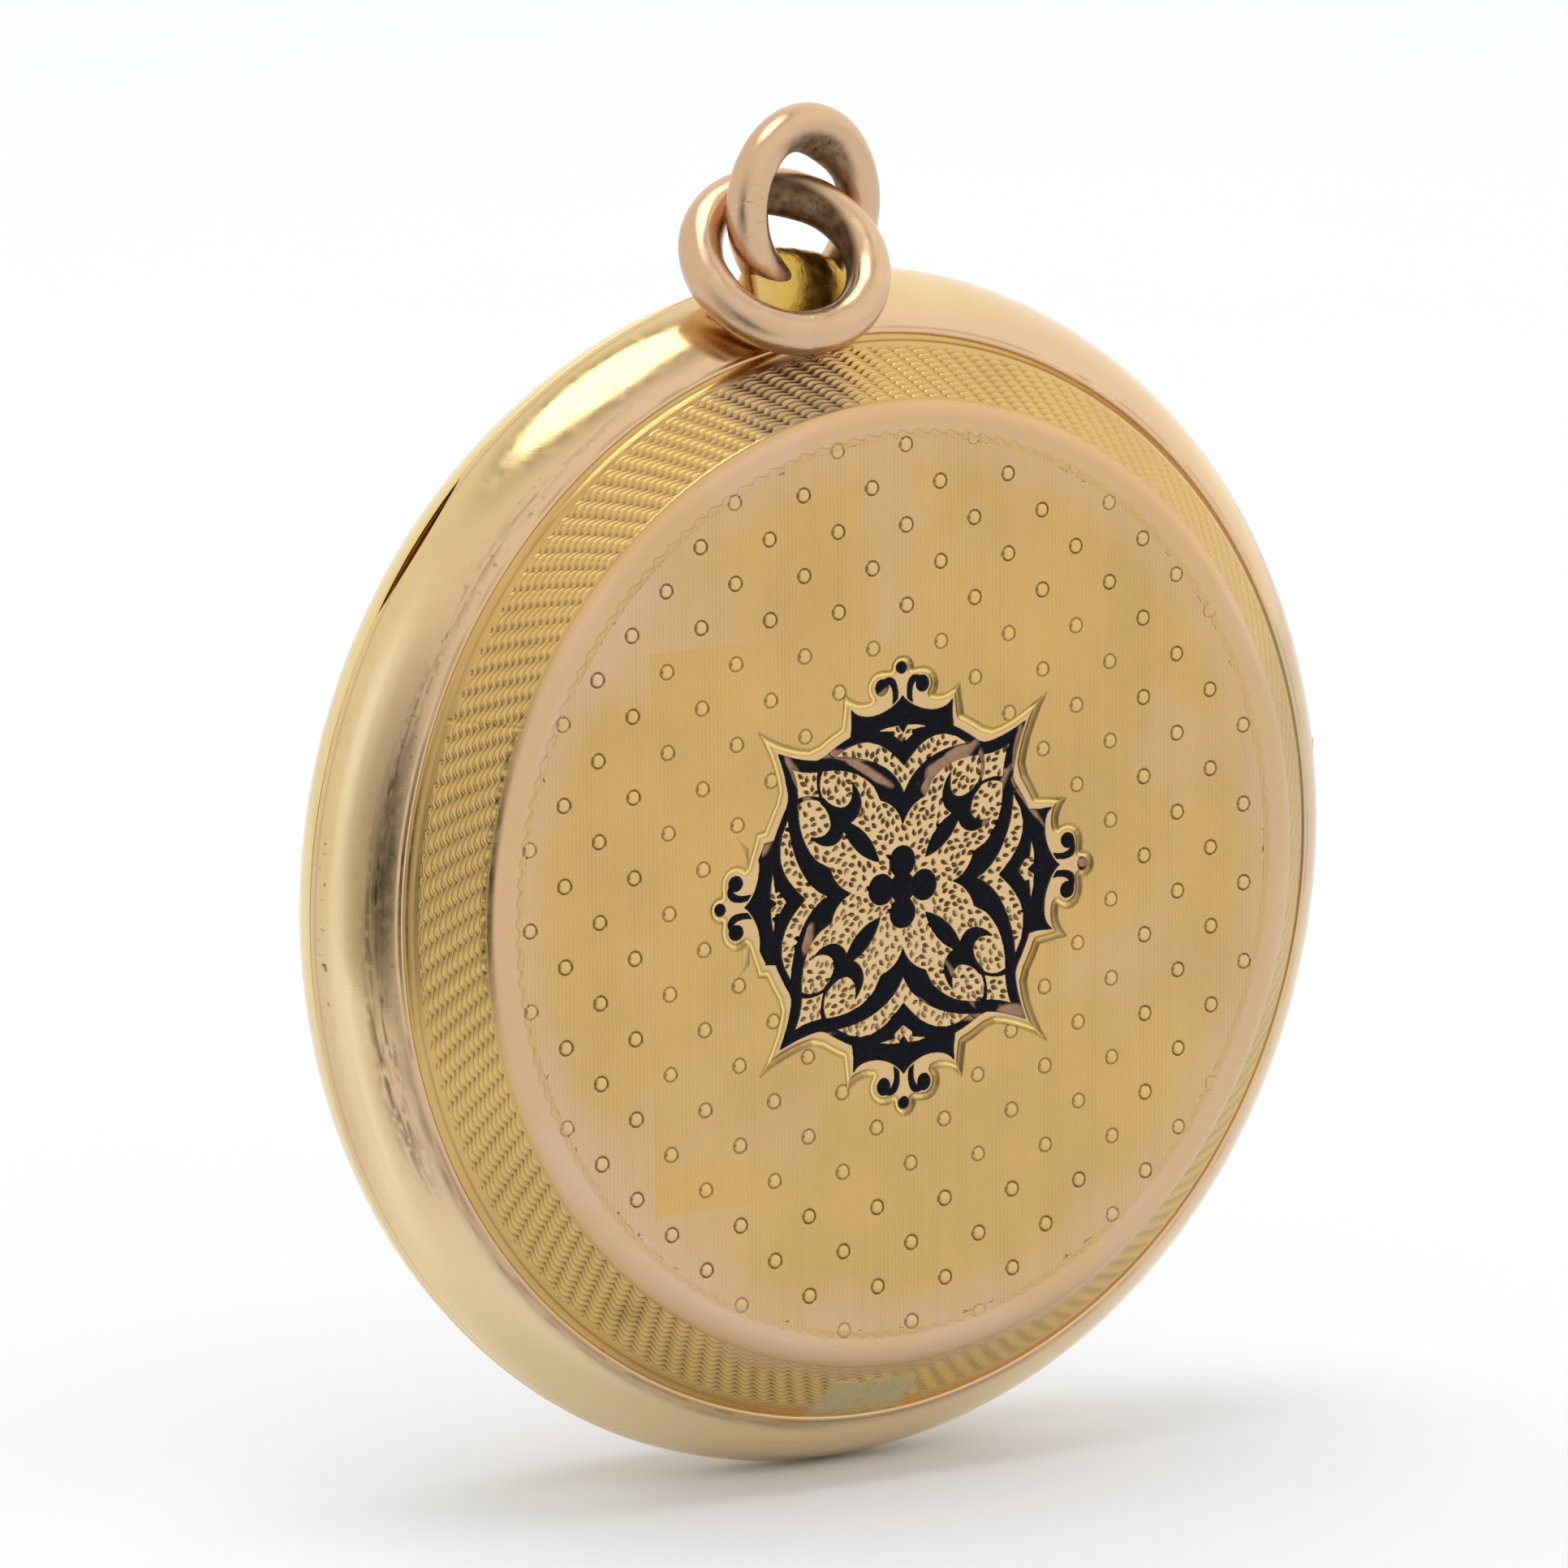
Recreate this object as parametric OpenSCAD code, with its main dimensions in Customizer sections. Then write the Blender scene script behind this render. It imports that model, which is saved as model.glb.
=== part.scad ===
// Round Victorian-style locket with a champleve ornament, a bail eye and a jump ring.
// The front faces -Y, +Z is up, and the origin is the centre of the seam between the halves.

/* [Case] */
// Diameter of the case at the seam
case_d = 34; // [30:0.5:40]
// Radius of the lip line, where the rim meets the plate's margin
lip_r = 15.37; // [14.8:0.01:15.6]
// Depth of the lip line from the seam
lip_depth = 2.3; // [2:0.05:2.6]
// Radius of the rim's section
rim_arc_r = 3; // [2.6:0.1:4]
// Thickness of the rim's sheet
rim_wall = 0.45; // [0.3:0.05:0.6]

/* [Plates] */
// Radius of the fine groove at the foot of the sloping band
band_out_r = 15.14; // [15:0.01:15.2]
// Depth of that groove from the seam
band_out_depth = 2.42; // [2.35:0.01:2.6]
// Radius at the top of the sloping band
band_in_r = 13.67; // [13:0.01:14]
// Depth at the top of the sloping band
band_in_depth = 3.87; // [3.6:0.01:4]
// Depth of the flat plate from the seam
plate_depth = 4.1; // [4:0.05:4.4]
// Thickness of the flat plate
plate_wall = 0.4; // [0.3:0.05:0.5]
// Width of the polished shoulder inside the band
shoulder_w = 0.8; // [0.6:0.1:1.2]

/* [Inner walls and photo frames] */
// Inner radius of the front half's inner wall
wall_in_r = 14.45; // [14.3:0.05:14.5]
// Thickness of both inner walls
wall_t = 0.4; // [0.3:0.05:0.45]
// Gap between the snap lip and the back half's inner wall
snap_gap = 0.1; // [0.08:0.01:0.15]
// Height of the snap lip over the seam
snap_h = 0.6; // [0.3:0.05:0.65]
// Thickness of the flange along the seam
flange_t = 0.35; // [0.25:0.05:0.5]
// Radius of the opening over each photo
photo_r = 12.9; // [12:0.1:13.2]
// Thickness of each glass
glass_t = 0.3; // [0.2:0.05:0.4]
// Thickness of each photo card
card_t = 0.2; // [0.1:0.05:0.3]

/* [Hinge] */
// Distance of the hinge axis from the case's centre
hinge_x = 16.9; // [16.88:0.01:16.94]
// Hinge axis behind the seam
hinge_y = 0.3; // [0.25:0.05:0.35]
// Radius of the knuckles
knuckle_r = 0.4; // [0.38:0.01:0.4]
// Length of one knuckle
knuckle_len = 0.8; // [0.7:0.02:0.9]
// Gap between neighbouring knuckles
knuckle_gap = 0.04; // [0.03:0.01:0.06]
// Radius of the hinge pin
pin_r = 0.18; // [0.15:0.01:0.2]
// Running clearance of the pin in the cover's knuckles
pin_gap = 0.03; // [0.02:0.01:0.05]
// Gap between the barrel and the rims
barrel_gap = 0.06; // [0.05:0.01:0.08]

/* [Bail] */
// Sideways offset of the soldered eye
eye_x = -0.88; // [-0.9:0.01:-0.86]
// Eye centre in front of the seam
eye_depth = 0.87; // [0.86:0.01:0.89]
// Height of the eye's centre over the case's centre
eye_z = 18.91; // [18.9:0.01:18.93]
// Mean radius of the eye
eye_r = 2.3; // [2.29:0.01:2.33]
// Radius of the eye's wire
eye_wire_r = 0.6; // [0.5:0.01:0.62]
// Turn of the eye away from facing forwards, its left side nearer the front
eye_turn = 12.7; // [12.5:0.1:13]
// Mean radius of the jump ring
ring_r = 2.44; // [2.43:0.01:2.46]
// Radius of the jump ring's wire
ring_wire_r = 0.65; // [0.55:0.01:0.66]
// Centre of the jump ring
ring_pos = [-2, -1.57, 17.51]; // [-2:0.01:18]
// Slope of the jump ring as it leans on the rim, from lying flat
ring_slope = 47.9; // [47.5:0.1:48]
// Heading that the jump ring faces, round from +X
ring_heading = -102.2; // [-102.5:0.1:-102]

/* [Ornament] */
// Place of the ornament's centre on the plate
ornament_pos = [0.15, -0.08]; // [-0.3:0.01:0.3]
// Depth of the enamel cells
cell_depth = 0.22; // [0.15:0.01:0.25]
// Enamel surface below the plate
enamel_drop = 0.02; // [0:0.01:0.05]

/* [Nail nick] */
// Angle of the nail nick round the rim from +X
nick_angle = 142; // [120:1:160]
// Chord length of the nail nick
nick_len = 4.8; // [3:0.1:6]
// Depth of the nail nick
nick_depth = 0.28; // [0.2:0.01:0.4]

/* [Hidden] */
$fn = 96;
case_r = case_d / 2;
gold = [0.85, 0.68, 0.42];
rosy_gold = [0.86, 0.70, 0.55];
enamel = [0.03, 0.03, 0.05];
// The rim's section is an arc through the seam edge and the lip line.
chord = [lip_r - case_r, lip_depth];
chord_len = norm(chord);
chord_normal = [chord[1], -chord[0]] / chord_len;
arc_rise = sqrt(rim_arc_r * rim_arc_r - chord_len * chord_len / 4);
rim_centre = [case_r, 0] + chord / 2 - chord_normal * arc_rise;
lip_dir = ([lip_r, lip_depth] - rim_centre) / rim_arc_r;
lip_foot = rim_centre + lip_dir * (rim_arc_r - rim_wall);
snap_r = wall_in_r + wall_t;
back_wall_r = snap_r + snap_gap;
inner_depth = plate_depth - plate_wall;
// Height by which a cut passes the surface it opens
over_cut = 0.1;
frame_lip = 0.25;
frame_wall = 0.5;
frame_h = 1.1;
frame_gap = 0.05;
front_frame_depth = 0.1;
back_frame_depth = snap_h + 0.1;
barrel_len = 5 * knuckle_len + 4 * knuckle_gap;
// The foot stops short of the seam, so that the cover comes away from it.
seam_gap = 0.03;
foot_w = 1;

// Points on a circle from angle a to angle b
function arc(centre, r, a, b, steps = 12) =
    [for (i = [0 : steps]) centre + r * [cos(a + (b - a) * i / steps), sin(a + (b - a) * i / steps)]];

// Points on a cubic curve, without its first point
function bend(p, q, r, s, steps = 8) =
    [for (i = [1 : steps]) let (t = i / steps, u = 1 - t)
        u * u * u * p + 3 * u * u * t * q + 3 * u * t * t * r + t * t * t * s];

// Turns a section of radius and depth into a ring of the front half
module front_turned() { rotate([90, 0, 0]) rotate_extrude() children(); }

// The same for the back half
module back_turned() { rotate([-90, 0, 0]) rotate_extrude() children(); }

// Section of the rim: a half-round sheet from the seam to the lip
module rim_section() {
    intersection() {
        translate(rim_centre) difference() {
            circle(rim_arc_r);
            circle(rim_arc_r - rim_wall);
        }
        polygon([rim_centre, [rim_centre[0], 0], [case_r + 1, 0], [case_r + 1, 4], rim_centre + lip_dir * 4]);
    }
}

// Section of everything inside the case's outer surface, as a cutting shape
module solid_section() {
    intersection() {
        translate(rim_centre) circle(rim_arc_r);
        polygon([rim_centre, [rim_centre[0], 0], [case_r + 1, 0], [case_r + 1, 4], rim_centre + lip_dir * 4]);
    }
    square([lip_foot[0], lip_depth - 0.2]);
}

// Whole front and back outer solid
module case_solid() {
    front_turned() solid_section();
    back_turned() solid_section();
}

// Section of a plate: channel, sloping band, shoulder and flat
module plate_section() {
    polygon(concat(
        [lip_foot, lip_foot + lip_dir * 0.36, [lip_r - 0.11, lip_depth - 0.05]],
        [[band_out_r + 0.02, band_out_depth - 0.06], [band_out_r, band_out_depth], [band_in_r, band_in_depth]],
        bend([band_in_r, band_in_depth], [band_in_r - 0.2, plate_depth - 0.06],
            [band_in_r - 0.4, plate_depth], [band_in_r - shoulder_w, plate_depth]),
        [[0, plate_depth], [0, inner_depth], [13.1, inner_depth], [wall_in_r - 0.05, 2.45]],
        [[wall_in_r - 0.05, lip_foot[1]]]
    ));
}

// Section of an inner wall with its flange along the seam
module wall_section(inner, lip_height) {
    translate([inner, -lip_height]) square([wall_t, lip_height + flange_t]);
    intersection() {
        translate(rim_centre) circle(rim_arc_r - rim_wall);
        union() {
            translate([inner, 0]) square([wall_t, lip_foot[1]]);
            translate([inner, 0]) square([3, flange_t]);
        }
    }
}

// Section of a photo frame, open towards the seam
module frame_section(outer, start) {
    translate([photo_r, start]) square([outer - photo_r, frame_lip]);
    translate([outer - frame_wall, start]) square([frame_wall, frame_h]);
}

// Cylinder along the hinge axis, from height a to height b
module on_hinge(r, a, b) {
    translate([hinge_x, hinge_y, a]) cylinder(r = r, h = b - a);
}

// Slot that lets the hinge barrel turn in the rims
module barrel_slot() {
    on_hinge(knuckle_r + barrel_gap, -barrel_len / 2 - 0.05, barrel_len / 2 + 0.05);
}

// One knuckle of the hinge with a tongue soldered over the rim; side is -1 at the front and 1 at the back
module knuckle(index, side, bore) {
    bottom = -barrel_len / 2 + index * (knuckle_len + knuckle_gap);
    near = hinge_y + side * 0.2;
    tip = side < 0 ? [16.82, -0.7] : [16.7, 1];
    difference() {
        union() {
            on_hinge(knuckle_r, bottom, bottom + knuckle_len);
            translate([0, 0, bottom]) linear_extrude(knuckle_len)
                polygon([[hinge_x - 0.25, near], [hinge_x + 0.3, near], tip, [tip[0] - 0.4, tip[1]]]);
        }
        on_hinge(bore, bottom - 1, bottom + knuckle_len + 1);
        difference() {
            case_solid();
            barrel_slot();
        }
    }
}

// Fills the ornament's cells with a flat shape, from their floor to a height over the plate
module in_cells(top) {
    translate([ornament_pos[0], -plate_depth, ornament_pos[1]]) rotate([90, 0, 0])
        translate([0, 0, -cell_depth]) linear_extrude(cell_depth + top) children();
}

// Repeats a shape on the four arms
module on_arms() { for (a = [0 : 90 : 270]) rotate(a) children(); }

// Repeats a shape on the four diagonals
module on_diagonals() { for (a = [45 : 90 : 315]) rotate(a) children(); }

// Whole outline from one eighth of it, which runs from the upper arm to the diagonal
function swapped(points) = [for (i = [len(points) - 1 : -1 : 0]) [points[i][1], points[i][0]]];
function turned(points, a) = [for (p = points) [p[0] * cos(a) - p[1] * sin(a), p[0] * sin(a) + p[1] * cos(a)]];
function eightfold(eighth) = [
    for (k = [0 : 3]) for (p = turned(concat(eighth, swapped([for (i = [1 : len(eighth) - 2]) eighth[i]])), -90 * k)) p
];

// Closed outline from its right half, which runs from the top of the axis to the bottom
function two_sided(half) = concat(half, [for (i = [len(half) - 2 : -1 : 1]) [-half[i][0], half[i][1]]]);

// Outer edge of the enamel: crown, horn, round of the rim and pointed corner
enamel_edge = concat(
    [[0, 5.3]],
    bend([0, 5.3], [0.12, 5.08], [0.6, 4.72], [1.15, 4.71]),
    bend([1.15, 4.71], [1.5, 4.72], [1.75, 4.78], [1.92, 4.86], 4),
    [[1.68, 4.5]],
    arc([0, 0], 4.64, 68, 56, 5),
    bend([2.62, 3.78], [3.1, 3.76], [3.7, 3.98], [4.17, 4.17])
);

// Edge of the gold field inside the chevrons and the loops
field_edge = concat(
    [[0, 1.72]],
    bend([0, 1.72], [0.12, 2.08], [0.35, 2.3], [0.75, 2.42], 6),
    bend([0.85, 2.66], [1.1, 3.04], [1.6, 3.46], [2.62, 3.46]),
    bend([2.62, 3.46], [2.8, 3.1], [2.72, 2.8], [2.42, 2.42], 6)
);

// Central flower of four lobes
module flower_shape() {
    circle(0.42);
    on_arms() translate([0, 0.72]) circle(0.43);
}

// Lancet bud, two curling scrolls and the stem that joins them to the loops
module sprig_shape() {
    side = concat(
        [[0, 1.1]],
        bend([0, 1.1], [0.16, 1.36], [0.4, 1.9], [0.14, 2.56], 6),
        bend([0.14, 2.56], [0.5, 2.4], [0.95, 2.6], [0.98, 3.32]),
        bend([0.98, 3.32], [0.72, 2.84], [0.2, 2.74], [0.08, 3.45]),
        [[0.08, 3.7], [0, 3.7]]
    );
    polygon(two_sided(side));
}

// Gold crescent between a crown and its chevron
module crescent_shape() {
    side = concat(
        [[0, 3.28]],
        bend([0, 3.28], [0.35, 3.65], [1.1, 4.6], [2.27, 3.8]),
        bend([2.27, 3.8], [1.3, 3.74], [0.3, 3.3], [0, 2.52])
    );
    polygon(two_sided(side));
}

// Gold field in a pointed corner
module corner_shape() {
    side = concat(
        [[0, 3.82]],
        bend([0, 3.82], [0.14, 4.1], [0.3, 4.3], [0.48, 4.4], 4),
        bend([0.48, 4.4], [0.22, 4.7], [0.08, 4.95], [0, 5.2], 4)
    );
    polygon(two_sided(side));
}

// Small gold notch in a crown
module notch_shape() {
    polygon(two_sided([[0, 4.22], [0.15, 4.43], [0.5, 4.42], [0.87, 4.34], [0.3, 4.26], [0.32, 4.13], [0, 3.9]]));
}

// Area of one crown, cut along the middle of its gold crescent
module crown_area() {
    polygon(two_sided([[0, 6], [2.1, 6], [2.44, 3.96], [2.27, 3.8], [1.2, 3.84], [0.45, 3.36], [0, 2.9]]));
}

// All the enamel but the flower and the finials
module network_shape() {
    difference() {
        polygon(eightfold(enamel_edge));
        difference() {
            polygon(eightfold(field_edge));
            on_diagonals() sprig_shape();
        }
        on_arms() crescent_shape();
        on_arms() notch_shape();
        on_diagonals() corner_shape();
    }
}

module crown_shape() {
    intersection() {
        network_shape();
        crown_area();
    }
}

// Sprigs, loops, chevrons and corners in one piece
module tracery_shape() {
    difference() {
        network_shape();
        on_arms() crown_area();
    }
}

// Two eyes with comma tails and a dot between them
module finial_shape() {
    translate([0, 6.12]) circle(0.17);
    for (side = [0, 1]) mirror([side, 0]) {
        translate([0.69, 5.6]) scale([0.22, 0.26]) circle(1);
        polygon(concat(
            [[0.6, 5.84]],
            bend([0.6, 5.84], [0.28, 5.96], [0.1, 5.7], [0.17, 5.26], 6),
            [[0.32, 5.2]],
            bend([0.32, 5.2], [0.26, 5.55], [0.4, 5.72], [0.6, 5.74], 6)
        ));
    }
}

module front_rim() {
    color(gold) difference() {
        front_turned() rim_section();
        barrel_slot();
        nail_nick();
    }
}

// Shallow cylinder cut across the seam edge, radius from the nick's chord and depth
module nail_nick() {
    nick_r = (nick_len * nick_len / 4 + nick_depth * nick_depth) / (2 * nick_depth);
    rotate([0, -nick_angle, 0]) translate([16, nick_r - nick_depth, 0]) rotate([0, 90, 0])
        cylinder(r = nick_r, h = 2, $fn = 180);
}

module front_inner_wall() {
    color(gold) front_turned() wall_section(wall_in_r, snap_h);
}

module front_plate() {
    color(gold) difference() {
        front_turned() plate_section();
        in_cells(over_cut) flower_shape();
        in_cells(over_cut) network_shape();
        in_cells(over_cut) on_arms() finial_shape();
    }
}

module front_photo_frame() {
    color(gold) front_turned() frame_section(wall_in_r - frame_gap, front_frame_depth);
}

// Glass behind the frame's lip
module front_glass() {
    color([0.8, 0.9, 0.9, 0.4]) front_turned()
        translate([0, front_frame_depth + frame_lip])
            square([wall_in_r - frame_gap - frame_wall - frame_gap, glass_t]);
}

module front_photo_card() {
    color([0.85, 0.78, 0.62]) front_turned()
        translate([0, front_frame_depth + frame_lip + glass_t])
            square([wall_in_r - frame_gap - frame_wall - frame_gap, card_t]);
}

module front_knuckles() {
    color(gold) for (i = [0, 2, 4]) knuckle(i, -1, pin_r);
}

module hinge_pin() {
    color(gold) on_hinge(pin_r, -barrel_len / 2, barrel_len / 2);
}

// Whole ring of the eye
module eye_ring() {
    translate([eye_x, -eye_depth, eye_z]) rotate([0, 0, eye_turn]) rotate([90, 0, 0])
        rotate_extrude() translate([eye_r, 0]) circle(eye_wire_r);
}

module bail_eye() {
    color(rosy_gold) difference() {
        eye_ring();
        case_solid();
    }
}

// Front view of the foot: higher at the eye's left limb, and low at the right, where the jump ring passes
foot_edge = concat(
    [[-2.6, 16.2], [-2.6, 16.9]],
    bend([-2.6, 16.9], [-2.35, 17.5], [-2.2, 18], [-1.75, 18.15]),
    bend([-1.75, 18.15], [-1.2, 17.85], [-0.4, 17.9], [0.5, 17.6]),
    bend([0.5, 17.6], [1.1, 17.35], [1.6, 17.3], [2, 17.35]),
    bend([2, 17.35], [2.3, 17.25], [2.5, 17], [2.6, 16.7]),
    [[2.6, 16.2]]
);

// Solder foot that fills the base of the eye, on the front half only
module bail_foot() {
    color(gold) difference() {
        translate([eye_x, -eye_depth, 0]) rotate([0, 0, eye_turn]) rotate([90, 0, 0])
            linear_extrude(foot_w, center = true) polygon(foot_edge);
        translate([-6, -seam_gap, 15]) cube([12, 4, 5]);
        front_turned($fn = 480) solid_section();
    }
}

module enamel_flower() { color(enamel) in_cells(-enamel_drop) flower_shape(); }

module enamel_tracery() { color(enamel) in_cells(-enamel_drop) tracery_shape(); }

module enamel_crowns() { color(enamel) in_cells(-enamel_drop) on_arms() crown_shape(); }

module enamel_finials() { color(enamel) in_cells(-enamel_drop) on_arms() finial_shape(); }

module back_rim() {
    color(gold) difference() {
        back_turned() rim_section();
        barrel_slot();
    }
}

module back_inner_wall() {
    color(gold) difference() {
        back_turned() wall_section(back_wall_r, 0);
        barrel_slot();
    }
}

module back_plate() {
    color(gold) back_turned() plate_section();
}

module back_photo_frame() {
    color(gold) back_turned() frame_section(back_wall_r - frame_gap, back_frame_depth);
}

module back_glass() {
    color([0.8, 0.9, 0.9, 0.4]) back_turned()
        translate([0, back_frame_depth + frame_lip])
            square([back_wall_r - frame_gap - frame_wall - frame_gap, glass_t]);
}

module back_photo_card() {
    color([0.85, 0.78, 0.62]) back_turned()
        translate([0, back_frame_depth + frame_lip + glass_t])
            square([back_wall_r - frame_gap - frame_wall - frame_gap, card_t]);
}

module back_knuckles() {
    color(gold) for (i = [1, 3]) knuckle(i, 1, pin_r + pin_gap);
}

module jump_ring() {
    color(rosy_gold) translate(ring_pos) rotate([0, ring_slope, ring_heading])
        rotate_extrude() translate([ring_r, 0]) circle(ring_wire_r);
}

front_rim();
front_inner_wall();
front_plate();
front_photo_frame();
front_glass();
front_photo_card();
front_knuckles();
hinge_pin();
bail_eye();
bail_foot();
enamel_flower();
enamel_tracery();
enamel_crowns();
enamel_finials();
back_rim();
back_inner_wall();
back_plate();
back_photo_frame();
back_glass();
back_photo_card();
back_knuckles();
jump_ring();
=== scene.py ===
from math import asin, atan2, ceil, cos, hypot, pi, radians, sin, sqrt

import bpy
import numpy as np
from mathutils import Matrix, Vector


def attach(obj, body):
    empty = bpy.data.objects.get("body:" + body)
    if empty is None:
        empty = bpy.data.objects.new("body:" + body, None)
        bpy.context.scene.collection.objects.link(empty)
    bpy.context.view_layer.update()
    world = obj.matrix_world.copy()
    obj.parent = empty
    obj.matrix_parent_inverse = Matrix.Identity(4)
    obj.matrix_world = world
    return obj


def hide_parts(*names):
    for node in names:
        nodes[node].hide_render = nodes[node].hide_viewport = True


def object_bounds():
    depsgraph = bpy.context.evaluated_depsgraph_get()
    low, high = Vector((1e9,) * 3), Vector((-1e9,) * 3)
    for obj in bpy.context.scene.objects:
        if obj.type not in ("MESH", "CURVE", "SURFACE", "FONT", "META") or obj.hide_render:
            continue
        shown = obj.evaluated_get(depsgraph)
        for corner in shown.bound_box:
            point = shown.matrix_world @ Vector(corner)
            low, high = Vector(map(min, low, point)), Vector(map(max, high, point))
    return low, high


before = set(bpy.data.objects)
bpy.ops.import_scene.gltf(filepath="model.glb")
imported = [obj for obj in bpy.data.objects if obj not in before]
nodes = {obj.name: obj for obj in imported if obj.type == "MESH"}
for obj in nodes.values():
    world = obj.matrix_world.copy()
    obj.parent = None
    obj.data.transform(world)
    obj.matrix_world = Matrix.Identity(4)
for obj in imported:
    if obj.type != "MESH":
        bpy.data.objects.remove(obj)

MM = 0.001
cad_box = [list(v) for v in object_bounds()]
rng = np.random.default_rng(11)

# The case's own sizes, in millimetres, as in the CAD. A point of its section is a radius and a depth
# from the seam plane.
CASE_R = 17.0
ARC_R = 3.0
ARC_C = np.array([14.02, -0.38])
RIM_WALL = 0.45
LIP = np.array([15.37, 2.3])
LIP_DIR = (LIP - ARC_C) / np.linalg.norm(LIP - ARC_C)
BAND_OUT = np.array([15.14, 2.42])
BAND_IN = np.array([13.67, 3.87])
FLAT_R = 12.62
# Depth of the plate's flat: a little under the CAD's 4.1, so that the raised middles of the dots stay in its box.
PLATE = 4.066
# Inside of a plate: the step that takes the photo frame, and the hollow behind the plate.
INNER_SKIN = [(15.17, 1.92), (14.9, 1.92), (14.45, 1.92), (14.4, 2.45), (13.9, 2.95), (13.1, 3.72), (8, 3.72),
              (0.01, 3.72)]

# Engine turning: degrees per arch, and the slope distance from row to row.
ARCH_TURN = 2.5
ROW_STEP = 0.16
# Lattice of the engraved rings: one ring's centre, and the steps to its neighbours.
DOT_X, DOT_Z = -0.799, 11.298
DOT_DX, DOT_DZ = 1.156, 1.132
STRIPE_PITCH = 0.128
# Middle of the ornament.
CENTRE = np.array([0.15, -0.08])


def smooth(a, b, x):
    """Ramp from 0 at a to 1 at b, level at both ends."""
    t = np.clip((x - a) / (b - a), 0, 1)
    return t * t * (3 - 2 * t)


def window(a, b, c, d, x):
    """1 between b and c, falling to 0 at a and at d."""
    return smooth(a, b, x) * (1 - smooth(c, d, x))


def bell(x, middle, width):
    return np.exp(-(((x - middle) / width) ** 2))


def wrap(angle):
    """The same angle between -180 and 180 degrees."""
    return (angle + 180) % 360 - 180


def turned(radius, angle, y):
    """Points at a radius and an angle round the case's axis; angle in radians."""
    return np.stack([radius * np.cos(angle), y, radius * np.sin(angle)], -1)


def bumps(x, y, seed, size=64):
    """Smooth random field of about one bump per unit, from -1 to 1."""
    table = np.random.default_rng(seed).uniform(-1, 1, (size, size))
    xi = np.floor(x).astype(int)
    yi = np.floor(y).astype(int)
    u = x - xi
    v = y - yi
    u *= u * (3 - 2 * u)
    v *= v * (3 - 2 * v)
    a = table[yi % size, xi % size]
    b = table[yi % size, (xi + 1) % size]
    c = table[(yi + 1) % size, xi % size]
    d = table[(yi + 1) % size, (xi + 1) % size]
    return (a * (1 - u) + b * u) * (1 - v) + (c * (1 - u) + d * u) * v


def fractal(x, y, seed, octaves=3):
    """Sum of random fields, each finer and weaker than the one before."""
    total = 0
    for k in range(octaves):
        total += bumps(x * 2**k + 7.3 * k, y * 2**k + 3.1 * k, seed + k) / 2**k
    return total / 1.6


def oriented(co, faces, facing=None):
    """Faces turned so that they look along facing, or outwards from a closed shell."""
    a, b, c = (np.asarray(co)[faces[:, k]] for k in (0, 1, 2))
    normals = np.cross(b - a, c - a)
    total = (normals * (a if facing is None else np.array(facing))).sum()
    return faces[:, ::-1] if total < 0 else faces


def link(name, data):
    """Object with some data, in the scene."""
    obj = bpy.data.objects.new(name, data)
    bpy.context.scene.collection.objects.link(obj)
    return obj


def make_mesh(name, co, faces, material, attributes=None, facing=None):
    """Mesh object from points in millimetres and an array of faces, smooth shaded."""
    faces = oriented(co, faces, facing)
    mesh = bpy.data.meshes.new(name)
    count, sides = faces.shape
    mesh.vertices.add(len(co))
    mesh.vertices.foreach_set("co", (np.asarray(co) * MM).astype(np.float32).ravel())
    mesh.loops.add(count * sides)
    mesh.loops.foreach_set("vertex_index", faces.astype(np.int32).ravel())
    mesh.polygons.add(count)
    mesh.polygons.foreach_set("loop_start", np.arange(0, count * sides, sides, dtype=np.int32))
    mesh.polygons.foreach_set("use_smooth", np.ones(count, bool))
    mesh.update(calc_edges=True)
    mesh.validate()
    for key, values in (attributes or {}).items():
        layer = mesh.attributes.new(key, "FLOAT", "POINT")
        layer.data.foreach_set("value", np.asarray(values, np.float32).ravel())
    mesh.materials.append(material)
    return link(name, mesh)


def fit(piece, body, cad_node):
    """What a piece rides, and the CAD node that it stands for."""
    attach(piece, body)
    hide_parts(cad_node)


def marks(**values):
    """Mark attributes between 0 and 1, one value for each point."""
    return {key: np.clip(value, 0, 1).ravel() for key, value in values.items()}


def grid_faces(rows, cols, wrap_rows=False, wrap_cols=False):
    """Quads between the points of a grid, closed round where it wraps."""
    i = np.arange(rows if wrap_rows else rows - 1)
    j = np.arange(cols if wrap_cols else cols - 1)
    i, j = np.meshgrid(i, j, indexing="ij")
    i2 = (i + 1) % rows
    j2 = (j + 1) % cols
    return np.stack([i * cols + j, i * cols + j2, i2 * cols + j2, i2 * cols + j], -1).reshape(-1, 4)


# ---- Materials


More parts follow.
